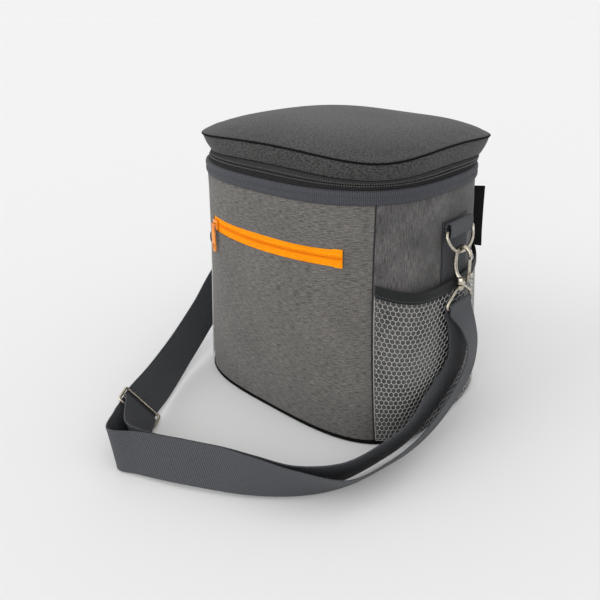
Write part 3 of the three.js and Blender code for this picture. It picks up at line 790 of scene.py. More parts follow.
@dataclass(frozen=True)
class Foil:
    """Crinkled silver film."""

    name: str
    colour: Colour

    def made(self) -> bpy.types.Material:
        """The finished material."""
        nodes, shader, material = started(self.name)
        here = nodes.add("ShaderNodeTexCoord").outputs["Object"]
        creases = nodes.add(
            "ShaderNodeTexVoronoi", {"Vector": here, "Scale": 70.0}, feature="DISTANCE_TO_EDGE"
        )
        marks = use(nodes, "wear", Vector=here, Size=18 * MM)
        dull = tuple(c * 0.72 for c in self.colour[:3]) + (1,)
        nodes.tree.links.new(nodes.blend(marks.outputs[0], self.colour, dull), shader.inputs["Base Color"])
        rough = nodes.add("ShaderNodeMapRange", {0: marks.outputs[0], 3: 0.3, 4: 0.45})
        nodes.tree.links.new(rough.outputs[0], shader.inputs["Roughness"])
        shader.inputs["Metallic"].default_value = 0.75
        height = nodes.math("ADD", creases.outputs[0], nodes.math("MULTIPLY", marks.outputs[0], 0.5))
        bump(nodes, shader, height, 0.5 * MM, 0.6)
        return material


GREY_AROUND = Cloth(
    "grey_heather_around", (0.042, 0.04, 0.038, 1), (0.205, 0.193, 0.182, 1), Grain.AROUND, 7 * MM
)
# The front's heather with its grain up, made darker for the side walls: painted shade, as the sides stand less
# lit. Its strong cloud paints the shade of soft dents and wrinkles as dark patches.
GREY_SIDE_SHADED = Cloth(
    "grey_heather_up", (0.036, 0.035, 0.0345, 1), (0.182, 0.176, 0.174, 1), Grain.UP, 9 * MM, cloud=0.6
)
CHARCOAL = Cloth(
    "charcoal_heather", (0.003, 0.003, 0.003, 1), (0.09, 0.09, 0.088, 1), Grain.AROUND, 1.6 * MM, coarse=1.7
)
BASE_CLOTH = Cloth("base_black", (0.012, 0.012, 0.013, 1), (0.03, 0.03, 0.032, 1), pitch=1.4 * MM)
SEAM_CLOTH = Cloth("seam_dark", (0.01, 0.01, 0.01, 1), (0.03, 0.03, 0.03, 1))
ZIP_CLOTH = Cloth(
    "zip_tape_black", (0.008, 0.008, 0.008, 1), (0.022, 0.022, 0.023, 1), pitch=1.2 * MM, sheen=0.0
)
ZIP_BAND = Cloth(
    "zip_band_charcoal", (0.022, 0.022, 0.022, 1), (0.045, 0.045, 0.045, 1), pitch=1.2 * MM, sheen=0.0
)
ORANGE_CLOTH = Cloth(
    "zip_tape_orange", (0.78, 0.22, 0.0002, 1), (0.97, 0.36, 0.0006, 1), pitch=1.2 * MM, sheen=0.0
)
LABEL_CLOTH = Cloth(
    "label_black", (0.002, 0.002, 0.002, 1), (0.007, 0.007, 0.008, 1), pitch=0.8 * MM, sheen=0.0
)
# Each tape's dark and light colours span the painted rib shade and highlight as well as the yarn's flecks.
STRAP_TAPE = Tape(
    "strap_webbing", (0.021, 0.022, 0.025, 1), (0.094, 0.099, 0.11, 1), 2.3 * MM, 60 * MM, 0.6, 0.45 * MM, True
)
RIM_TAPE = Tape(
    "rim_tape", (0.022, 0.023, 0.028, 1), (0.075, 0.077, 0.09, 1), 1.8 * MM, 40 * MM, 0, 0.5 * MM, True
)
SIDE_TAPE = Tape(
    "side_tape", (0.014, 0.015, 0.018, 1), (0.06, 0.062, 0.07, 1), 1.8 * MM, 20 * MM, 0.3, 0.4 * MM
)
ELASTIC = Tape(
    "pocket_elastic", (0.004, 0.0045, 0.0045, 1), (0.016, 0.018, 0.018, 1), 0.9 * MM, 40 * MM, 0, 0.15 * MM
)
NET_YARN = Plastic("net_yarn", (0.42, 0.42, 0.4, 1), (0.58, 0.58, 0.56, 1), 0.5)
GREY_THREAD = Plastic("thread_grey", (0.06, 0.065, 0.075, 1), (0.1, 0.105, 0.12, 1), 0.6)
BLACK_THREAD = Plastic("thread_black", (0.004, 0.004, 0.004, 1), (0.009, 0.009, 0.009, 1), 0.8, specular=0.08)
ORANGE_COIL = Plastic("coil_orange", (0.85, 0.24, 0.0003, 1), (0.97, 0.36, 0.001, 1), 0.5, specular=0.2)
ORANGE_ENAMEL = Plastic("enamel_orange", (0.75, 0.22, 0.001, 1), (0.85, 0.32, 0.004, 1), 0.25, 0.3)
BLACK_COIL = Plastic("coil_grey", (0.05, 0.05, 0.052, 1), (0.16, 0.16, 0.165, 1), 0.3)
BLACK_ENAMEL = Plastic("enamel_black", (0.01, 0.01, 0.011, 1), (0.03, 0.03, 0.03, 1), 0.22, 0.4)
NICKEL = Metal("pale_nickel", (0.6, 0.55, 0.46, 1), (0.3, 0.27, 0.22, 1))
SILVER = Foil("silver_foil", (0.5, 0.51, 0.53, 1))
FOAM = Plastic("foam_white", (0.78, 0.78, 0.75, 1), (0.68, 0.68, 0.65, 1), 0.8)

_DRESSED: dict = {}


def dress(
    piece: bpy.types.Object,
    finish: object,
    body: Optional[str] = None,
    replaces: Sequence[str] = (),
) -> bpy.types.Object:
    """Gives the piece its finish, its body and the nodes it stands for.

    Args:
        piece: The finished mesh.
        finish: Its cloth, tape, plastic, metal or foil.
        body: The body it rides on, or None for a piece left without one.
        replaces: The frame's nodes that it stands for.

    Returns:
        The same piece.
    """
    if finish not in _DRESSED:
        _DRESSED[finish] = finish.made()
    piece.data.materials.clear()
    piece.data.materials.append(_DRESSED[finish])
    if body:
        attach(piece, body)
    if replaces:
        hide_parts(*replaces)
    LOG.info("%s: %d faces", piece.name, len(piece.data.polygons))
    return piece


# ---------------------------------------------------------------- the bag's outline


@dataclass(frozen=True)
class BodyShape:
    """The body's rounded outline at three heights and the curve through them."""

    heights: tuple = (0.0, 0.119, 0.238)
    half_width: tuple = (0.1445, 0.1371, 0.1318)
    half_depth: tuple = (0.1117, 0.1193, 0.120)
    squareness: tuple = (3.41, 2.73, 2.64)
    seam_low: float = 44.4
    seam_high: float = 39.7
    wall_top: float = 0.2377
    rim_top: float = 0.2502

    def through(self, values: Sequence[float], z: float) -> float:
        """The value at a height, on the parabola through the three."""
        low, middle, high = self.heights
        a = (z - middle) * (z - high) / ((low - middle) * (low - high))
        b = (z - low) * (z - high) / ((middle - low) * (middle - high))
        c = (z - low) * (z - middle) / ((high - low) * (high - middle))
        return values[0] * a + values[1] * b + values[2] * c

    def point(self, angle: float, z: float, inset: float = 0.0) -> Vector:
        """The outline's point at an angle in degrees, moved inwards by inset."""
        level = min(z, self.heights[2])
        wide = self.through(self.half_width, level) - inset
        deep = self.through(self.half_depth, level) - inset
        x, y = rounded(wide, deep, self.through(self.squareness, level), angle)
        return Vector((x, y, z))

    def seam(self, z: float) -> float:
        """The angle of the front right seam's mirror at a height."""
        return lerp(self.seam_low, self.seam_high, min(z, self.wall_top) / self.wall_top)

    def wall(self, index: int, u: float, z: float, trim: float = 0.17) -> float:
        """The angle a share u across wall 0 right, 1 back, 2 left or 3 front."""
        seam = self.seam(z)
        starts = (-seam, seam, 180 - seam, 180 + seam)
        ends = (seam, 180 - seam, 180 + seam, 360 - seam)
        return lerp(starts[index] + trim, ends[index] - trim, u)

    def side_angle(self, y: float, z: float) -> float:
        """The angle on the right side at which the outline passes y."""
        share = abs(y) / self.through(self.half_depth, z)
        return math.degrees(math.asin(math.copysign(share ** (self.through(self.squareness, z) / 2), y)))


def rounded(wide: float, deep: float, squareness: float, angle: float) -> tuple[float, float]:
    """The point of a rounded rectangle at an angle in degrees."""
    c, s = math.cos(math.radians(angle)), math.sin(math.radians(angle))
    power = 2 / squareness
    return wide * math.copysign(abs(c) ** power, c), deep * math.copysign(abs(s) ** power, s)


def away(point: Vector) -> Vector:
    """The level way off the bag at a point on its wall."""
    return Vector((point.x, point.y * 1.25, 0)).normalized()


BODY = BodyShape()
WALLS = ("right", "back", "left", "front")


# ---------------------------------------------------------------- walls and base


@dataclass(frozen=True)
class Window:
    """The opening in the front wall that the pocket's zip sits in."""

    left: float = -0.0753
    right: float = 0.0873
    low: float = 0.1822
    high: float = 0.1978


@dataclass
class Shell:
    """Walls, base, foam and silver tub of the bag."""

    frame: dict
    panel: float = 2.2 * MM
    window: Window = Window()
    columns: int = 56
    rows: int = 44

    def build(self) -> None:
        """Makes every wall, then the base, the foam and the tub."""
        for index in range(4):
            self.wall(index)
            self.seam(index)
        self.base()
        self.insulation()

    def relief(self, index: int, u: float, z: float) -> float:
        """How far the wall's cloth stands out at a share u across it."""
        point = BODY.point(BODY.wall(index, u, z), z)
        edge = min(u, 1 - u) * 0.19
        dip = -0.7 * MM * math.exp(-((edge / 0.005) ** 2))
        fade = math.exp(-((0.238 - z) / 0.012))
        pucker = 0.3 * MM * wobble(Vector((u * 2.4, 0, z * 0.2)), 0.02, index) * fade
        creases = 0.5 * MM * wobble(Vector((point.x, point.y, z * 1.8)), 0.045, 3.1)
        if index in (0, 2):
            high = min(max((z - 0.15) / 0.03, 0), 1)
            folds = 1.3 * MM * high * min(wobble(Vector((point.x, point.y, z * 0.9)), 0.034, 7.7), 0.05)
            return dip + pucker + min(creases, 0.1 * MM) + folds
        swell = 1.1 * MM * math.sin(math.pi * u) ** 0.6 * math.sin(math.pi * min(z / 0.236, 1)) ** 0.5
        return dip + pucker + creases * 0.7 + swell

    def wall(self, index: int) -> None:
        """One wall between two seams."""
        heights = spaced(5 * MM, BODY.wall_top, self.rows)
        shares = spaced(0, 1, self.columns)
        if index == 3:
            heights = self.held(heights, (self.window.low, self.window.high))
            shares = self.held(shares, (self.share_at(self.window.left), self.share_at(self.window.right)))

        def place(u: float, z: float) -> Vector:
            return BODY.point(BODY.wall(index, u, z), z, -self.relief(index, u, z))

        name = f"{WALLS[index]}_wall_cloth"
        piece = sheet_of(name, shares, heights, place)
        if index == 3:
            self.cut_window(piece)
        cloth_of(piece, self.panel, 0.6 * MM)
        # The side walls take the darker heather, whose lower tone is painted shade.
        finish = GREY_AROUND if index in (1, 3) else GREY_SIDE_SHADED
        dress(piece, finish, "bag", [f"{WALLS[index]}_panel"])

    def share_at(self, x: float) -> float:
        """The share across the front wall at which it passes x, at the zip's height."""
        low, high = 0.0, 1.0
        for _ in range(40):
            middle = (low + high) / 2
            if BODY.point(BODY.wall(3, middle, 0.19), 0.19).x < x:
                low = middle
            else:
                high = middle
        return low

    @staticmethod
    def held(values: Sequence[float], wanted: Sequence[float]) -> list[float]:
        """The values with the nearest one to each wanted value moved onto it."""
        made = list(values)
        for value in wanted:
            nearest = min(range(len(made)), key=lambda i: abs(made[i] - value))
            made[nearest] = value
        return made

    def cut_window(self, piece: bpy.types.Object) -> None:
        """Deletes the faces inside the pocket's opening."""
        only(piece)
        bpy.ops.object.mode_set(mode="EDIT")
        bpy.ops.mesh.select_all(action="DESELECT")
        bpy.ops.object.mode_set(mode="OBJECT")
        room = self.window
        for face in piece.data.polygons:
            centre = face.center
            face.select = room.left < centre.x < room.right and room.low < centre.z < room.high
        bpy.ops.object.mode_set(mode="EDIT")
        bpy.ops.mesh.select_mode(type="FACE")
        bpy.ops.mesh.delete(type="FACE")
        bpy.ops.object.mode_set(mode="OBJECT")

    def seam(self, index: int) -> None:
        """The dark cord of cloth in the seam where a wall starts."""
        line = []
        for z in spaced(6 * MM, BODY.wall_top, 30):
            angle = BODY.wall(index, 0, z, 0)
            line.append(BODY.point(angle, z, 1.05 * MM))
        piece = tube_of(f"{WALLS[index]}_seam_cord", line, 0.85 * MM)
        dress(piece, SEAM_CLOTH, "bag")

    def base(self) -> None:
        """The base cloth and the piping round its edge."""

        line = [BODY.point(angle, 2.3 * MM, 1.3 * MM) for angle in spaced(0, 360, 180)[:-1]]
        piping = tube_of("base_piping_cord", line, 2.05 * MM, True, 5)
        dress(piping, BLACK_THREAD, "bag", ["base_piping"])
        under = softened(self.frame, "base_panel", "base_cloth", 0.3 * MM)
        dress(under, BASE_CLOTH, "bag", ["base_panel"])

    def insulation(self) -> None:
        """The foam slabs and the silver tub."""
        for wall in WALLS:
            piece = softened(self.frame, f"{wall}_foam", f"{wall}_foam_slab", 0.4 * MM)
            dress(piece, FOAM, "bag", [f"{wall}_foam"])
        piece = softened(self.frame, "base_foam", "base_foam_slab", 0.4 * MM)
        dress(piece, FOAM, "bag", ["base_foam"])
        tub = softened(self.frame, "inner_lining", "silver_tub", 0.0)
        dress(tub, SILVER, "bag", ["inner_lining"])


def softened(frame: dict, node: str, name: str, roll: float) -> bpy.types.Object:
    """A copy of a node with joined points, rolled edges and a UV map in metres.

    Args:
        node: The node that is copied.
        name: The copy's name.
        roll: The rounding of its edges, 0 for none.

    Returns:
        The copy, without a parent.
    """
    source = frame["nodes"][node]
    piece = bpy.data.objects.new(name, source.data.copy())
    bpy.context.scene.collection.objects.link(piece)
    piece.data.materials.clear()
    edited(piece, weld(0.01 * MM), outward, lambda: bpy.ops.mesh.tris_convert_to_quads())
    if roll:
        shaped(piece, "BEVEL", width=roll, segments=2, limit_method="ANGLE", angle_limit=math.radians(50))
    if not piece.data.uv_layers:
        piece.data.uv_layers.new(name="UVMap")
    edited(piece, lambda: bpy.ops.uv.cube_project(cube_size=1, correct_aspect=False))
    settled(piece, 35)
    return piece


# ---------------------------------------------------------------- rim, lid and main zip


@dataclass
class Rim:
    """The slate binding round the mouth and its row of stitches."""

    outset: float = 0.9 * MM
    low: float = 238 * MM
    top: float = 250.2 * MM

    def build(self) -> None:
        """Makes the binding and the stitches at its middle."""
        low, top, out = self.low, self.top, self.outset
        profile = [
            (low, -out),
            (low + 0.0012, -out - 0.0005),
            (low + 0.0034, -out - 0.0006),
            (low + 0.0057, -out + 0.0002),
            (low + 0.0081, -out - 0.0006),
            (top - 0.0014, -out - 0.0003),
            (top - 0.0004, -out + 0.0006),
            (top, 0.001),
            (top, 0.0028),
            (top - 0.001, 0.0042),
            (low + 0.004, 0.0042),
            (low, 0.0042),
        ]

        def place(angle: float, step: float) -> Vector:
            z, inset = profile[round(step) % len(profile)]
            ripple = 0.25 * MM * wobble(BODY.point(angle, z), 0.012, 5)
            return BODY.point(angle, z, inset + (ripple if step % len(profile) < 6 else 0))

        piece = sheet_of("rim_tape_band", spaced(0, 360, 360), range(len(profile) + 1), place)
        edited(piece, weld(0.01 * MM), outward)
        settled(piece, 60)
        dress(piece, RIM_TAPE, "bag", ["rim_binding"])

        def line(t: float) -> Vector:
            return BODY.point(360 * t, low + 5.7 * MM, -out - 0.1 * MM)

        dress(stitches("rim_stitches", line, away, 3.4 * MM), GREY_THREAD, "bag")


@dataclass(frozen=True)
class LidOutline:
    """A rounded outline of the lid whose corners drop."""

    half_width: float
    half_depth: float
    squareness: float
    shift: float
    z: float
    drop: float

    def point(self, angle: float, inset: float = 0.0, rise: float = 0.0) -> Vector:
        """The outline's point at an angle in degrees."""
        x, y = rounded(self.half_width - inset, self.half_depth - inset, self.squareness, angle)
        corner = (x / self.half_width * y / self.half_depth) ** 2
        return Vector((x, y + self.shift, self.z + rise - self.drop * corner))


LID_EDGE = LidOutline(0.1269, 0.112, 3.34, 0.0064, 0.2603, 0.007)
LID_WELT = LidOutline(0.1287, 0.113, 4.47, 0.0072, 0.2785, 0.0078)


def slope(angle: float, t: float, out: float = 0.0) -> Vector:
    """A point between the rim and the lid, where the main zip runs."""
    low, high = BODY.point(angle, BODY.rim_top, 1.6 * MM), LID_EDGE.point(angle, 1.2 * MM)
    turn = math.radians(angle)
    return low.lerp(high, t) + Vector((math.cos(turn), math.sin(turn), 0.6)).normalized() * out


@dataclass
class Lid:
    """Side band, welt and pillowed top of the lid."""

    frame: dict
    crown: float = 13 * MM
    cells: int = 84

    def build(self) -> None:
        """Makes the lid's cloth, welt, foam and lining."""
        self.gusset()
        self.welt()
        self.top()
        foam = softened(self.frame, "lid_foam", "lid_foam_slab", 0.4 * MM)
        for vertex in foam.data.vertices:
            vertex.co.z -= 0.1 * max(vertex.co.z - 0.27, 0)
        dress(foam, FOAM, "lid", ["lid_foam"])
        under = softened(self.frame, "lid_lining", "lid_silver_lining", 0.0)
        dress(under, SILVER, "lid", ["lid_lining"])
        hinge = softened(self.frame, "lid_hinge_strip", "lid_hinge_cloth", 0.2 * MM)
        dress(hinge, CHARCOAL, None, ["lid_hinge_strip"])
        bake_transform(hinge)

    def gusset(self) -> None:
        """The lid's side band."""

        def place(angle: float, v: float) -> Vector:
            low = LID_EDGE.point(angle, 0, 0.4 * MM)
            high = LID_WELT.point(angle, 0.6 * MM, -1.5 * MM)
            point = low.lerp(high, v)
            puff = 0.9 * MM * math.sin(math.pi * v) + 0.35 * MM * wobble(point, 0.03, 8)
            return point + away(point) * puff

        piece = sheet_of("lid_side_band", spaced(0, 360, 240), spaced(0, 1, 8), place)
        edited(piece, weld(0.01 * MM))
        cloth_of(piece, 2 * MM, 0.5 * MM)
        dress(piece, CHARCOAL, "lid", ["lid_gusset"])

    def welt(self) -> None:
        """The piping between the band and the top."""
        line = []
        for angle in spaced(0, 360, 240)[:-1]:
            point = LID_WELT.point(angle, 0.5 * MM)
            line.append(point + Vector((0, 0, 0.15 * MM * wobble(point, 0.02) - 0.7 * MM)))
        piece = tube_of("lid_welt_cord", line, 1.0 * MM, True, 5)
        dress(piece, BLACK_THREAD, "lid", ["lid_welt"])

    def top(self) -> None:
        """The pillowed top: a square grid drawn out to the welt's outline."""
        power = LID_WELT.squareness
        wide, deep = LID_WELT.half_width - 0.3 * MM, LID_WELT.half_depth - 0.3 * MM

        def place(a: float, b: float) -> Vector:
            most = max(abs(a), abs(b), 1e-6)
            norm = max((abs(a) ** power + abs(b) ** power) ** (1 / power), 1e-6)
            x, y = a * wide * most / norm, b * deep * most / norm
            corner = (x / most / LID_WELT.half_width * y / most / LID_WELT.half_depth) ** 2
            z = LID_WELT.z - LID_WELT.drop * corner * most**4 + 0.4 * MM + self.crown * (1 - most**4)
            point = Vector((x, y + LID_WELT.shift, z))
            edge = math.exp(-(((1 - most) / 0.09) ** 2))
            pucker = 0.7 * MM * wobble(Vector((x * 2.4, y * 2.4, 0)), 0.03, 2) * edge * (1 - edge) * 4
            crease = -1.6 * MM * math.exp(-(((x - y * 0.55 - 0.155) / 0.006) ** 2)) * min(1, (1 - most) * 8)
            soft = 1.1 * MM * wobble(point, 0.07, 1) * (1 - most**4)
            return point + Vector((0, 0, pucker + crease + soft))

        grid = spaced(-1, 1, self.cells)
        piece = sheet_of("lid_top_cloth", grid, grid, place)
        cloth_of(piece, 2 * MM, 0.5 * MM)
        dress(piece, CHARCOAL, "lid", ["lid_top_panel"])


@dataclass
class MainZip:
    """Two tapes with fine teeth round three sides, a slider and its pull."""

    start: float = 118.6
    stop: float = 421.4
    slider_angle: float = 164
    slider_turn: float = -102

    def build(self) -> None:
        """Makes the tapes, teeth, slider and pull."""
        self.tape("main_zip_lower_cloth", 0.03, 0.5, "bag", ["main_zip_lower_tape"])
        self.tape("main_zip_upper_cloth", 0.54, 0.97, "lid", ["main_zip_upper_tape"])
        self.teeth("main_zip_lower_teeth", 0.4, "bag", ["main_zip_lower_coil"])
        self.teeth("main_zip_upper_teeth", 0.64, "lid", ["main_zip_upper_coil"])
        here = Matrix.Translation(slope(self.slider_angle, 0.5, 1.9 * MM))
        turned = here @ Matrix.Rotation(math.radians(self.slider_turn), 4, "Z")
        slider = placed(Slider(9 * MM, 6.4 * MM).made("main_slider_piece"), turned)
        dress(slider, BLACK_ENAMEL, "main_slider", ["main_zip_slider"])
        pull = placed(Slider(9 * MM, 6.4 * MM).pull("main_pull_piece", 27 * MM), turned)
        dress(pull, BLACK_ENAMEL, "main_pull", ["main_zip_pull"])

    def tape(self, name: str, low: float, high: float, body: str, nodes: Sequence[str]) -> None:
        """One tape between two shares of the slope."""

        def place(angle: float, t: float) -> Vector:
            return slope(angle, t, 0.5 * MM if 0.1 < t < 0.9 else 0.2 * MM)

        piece = sheet_of(name, spaced(self.start, self.stop, 200), spaced(low, high, 6), place)
        cloth_of(piece, 0.9 * MM, 0.2 * MM)
        dress(piece, ZIP_BAND if body == "lid" else ZIP_CLOTH, body, nodes)

    def teeth(self, name: str, t: float, body: str, nodes: Sequence[str]) -> None:
        """A row of teeth along the slope."""
        deselect()
        bpy.ops.mesh.primitive_uv_sphere_add(segments=6, ring_count=4, radius=1)
        unit = bpy.context.object
        unit.scale = (0.7 * MM, 0.9 * MM, 0.7 * MM)
        bpy.ops.object.transform_apply(location=True, rotation=True, scale=True)

        def line(share: float) -> Vector:
            return slope(lerp(self.start, self.stop, share), t, 0.75 * MM)

        places = [
            frame_at(here, way, away(here) + Vector((0, 0, 0.6)))
            for here, way in along_route(line, 2.1 * MM)
        ]
        dress(repeated(name, unit, places), BLACK_COIL, body, nodes)


@dataclass
class Slider:
    """A zip slider at the origin: X along the zip, Y into the bag, Z up."""

    length: float
    height: float
    reach: float = -4.3 * MM

    def made(self, name: str) -> bpy.types.Object:
        """The slider's body with the bridge that its pull hangs from."""
        plate = rounded_block("plate", (self.length, 2.2 * MM, self.height), (0, -1.1 * MM, 0), 0.9 * MM)
        arch = [
            Vector((-3.2 * MM, -1 * MM, 0)),
            Vector((-3.2 * MM, -3.4 * MM, 0)),
            Vector((-2.2 * MM, self.reach, 0)),
            Vector((2.2 * MM, self.reach, 0)),
            Vector((3.2 * MM, -3.4 * MM, 0)),
            Vector((3.2 * MM, -1 * MM, 0)),
        ]
        bridge = tube_of("bridge", catmull(arch, 6), 0.72 * MM, False, 4)
        return finished(joined(name, plate, bridge))

    def pull(self, name: str, length: float) -> bpy.types.Object:
        """The hanging pull with an eye at its top and a slot near its foot."""
        wide, waist = 3.5 * MM, 1.9 * MM
        outline = []
        for i in range(9):
            turn = math.pi * i / 8
            outline.append(Vector((waist * math.cos(turn), waist * math.sin(turn) * 0.92, 0)))
        for x, y in ((-2.0, -4.5), (-3.3, -8), (-3.5, -10)):
            outline.append(Vector((x * MM, y * MM, 0)))
        foot = -length + wide
        for i in range(9):
            turn = math.pi + math.pi * i / 8
            outline.append(Vector((wide * math.cos(turn), foot + wide * math.sin(turn), 0)))
        for x, y in ((3.5, -10), (3.3, -8), (2.0, -4.5)):
            outline.append(Vector((x * MM, y * MM, 0)))
        eye = round_outline(1.08 * MM, 1.06 * MM, 16)
        slot = round_outline(3.4 * MM, 1.6 * MM, 20, -length + 5.6 * MM)
        piece = plate_of(name, (outline, eye, slot), 0.75 * MM, 0.25 * MM)
        stand = Matrix.Translation((0, self.reach, 0)) @ Matrix.Rotation(math.radians(90), 4, "X")
        return finished(placed(piece, stand))


def finished(piece: bpy.types.Object) -> bpy.types.Object:
    """Smooths a hard piece and leaves it unturned at the origin."""
    settled(piece, 40)
    return piece


# ---------------------------------------------------------------- front pocket


@dataclass
class FrontPocket:
    """The orange zip on its arc and the lining behind it."""

    frame: dict
    centre: float = 0.1376
    radius: float = 0.258
    z: float = 0.190
    start: float = -16.8
    stop: float = 19.95
    slider_angle: float = -15.6

    def at(self, angle: float, z: float, out: float = 0.0) -> Vector:
        """A point of the arc at a height."""
        turn = math.radians(angle)
        reach = self.radius + out
        return Vector((reach * math.sin(turn), self.centre - reach * math.cos(turn), z))

    def build(self) -> None:
        """Makes both tapes, the teeth, the stitches, the slider, the pull and the lining."""
        self.tape("pocket_upper_cloth", 0.2 * MM, 8.6 * MM, "pocket_zip_upper_tape")
        self.tape("pocket_lower_cloth", -8.6 * MM, -0.2 * MM, "pocket_zip_lower_tape")
        self.teeth()
        for level in (5.4 * MM, -5.4 * MM):

            def line(t: float) -> Vector:
                return self.at(lerp(self.start, self.stop, t), self.z + level, 0.25 * MM)

            row = stitches(f"pocket_stitches_{'up' if level > 0 else 'down'}", line, away, 2.6 * MM)
            dress(row, ORANGE_COIL, "bag")
        turned = Matrix.Translation(self.at(self.slider_angle, self.z, 0.8 * MM))
        turned = turned @ Matrix.Rotation(math.radians(self.slider_angle), 4, "Z")
        maker = Slider(9 * MM, 9 * MM)
        slider = placed(maker.made("pocket_slider_piece"), turned)
        dress(slider, ORANGE_ENAMEL, "pocket_slider", ["pocket_zip_slider"])
        pull = placed(maker.pull("pocket_pull_piece", 29 * MM), turned)
        dress(pull, ORANGE_ENAMEL, "pocket_pull", ["pocket_zip_pull"])
        back = softened(self.frame, "pocket_lining", "pocket_lining_cloth", 0.0)
        dress(back, BASE_CLOTH, "bag", ["pocket_lining"])

    def tape(self, name: str, low: float, high: float, node: str) -> None:
        """One tape of the zip."""

        def place(angle: float, level: float) -> Vector:
            ridge = 0.8 * MM * math.exp(-(((abs(level) - 3 * MM) / (0.6 * MM)) ** 2))
            return self.at(angle, self.z + level, 0.2 * MM + ridge)

        piece = sheet_of(name, spaced(self.start, self.stop, 60), spaced(low, high, 20), place)
        cloth_of(piece, 0.9 * MM, 0.25 * MM)
        dress(piece, ORANGE_CLOTH, "bag", [node])

    def teeth(self) -> None:
        """The coil's two rows of teeth."""
        deselect()
        bpy.ops.mesh.primitive_uv_sphere_add(segments=6, ring_count=4, radius=1)
        unit = bpy.context.object
        unit.scale = (0.5 * MM, 0.95 * MM, 0.75 * MM)
        bpy.ops.object.transform_apply(location=True, rotation=True, scale=True)
        places = []
        for level in (-1.05 * MM, 1.05 * MM):

            def line(t: float) -> Vector:
                return self.at(lerp(self.start, self.stop, t), self.z + level, 0.35 * MM)

            places += [frame_at(here, way, away(here)) for here, way in along_route(line, 1.6 * MM)]
        piece = repeated("pocket_teeth", unit, places)
        dress(piece, ORANGE_COIL, "bag", ["pocket_zip_coil"])


# ---------------------------------------------------------------- sides


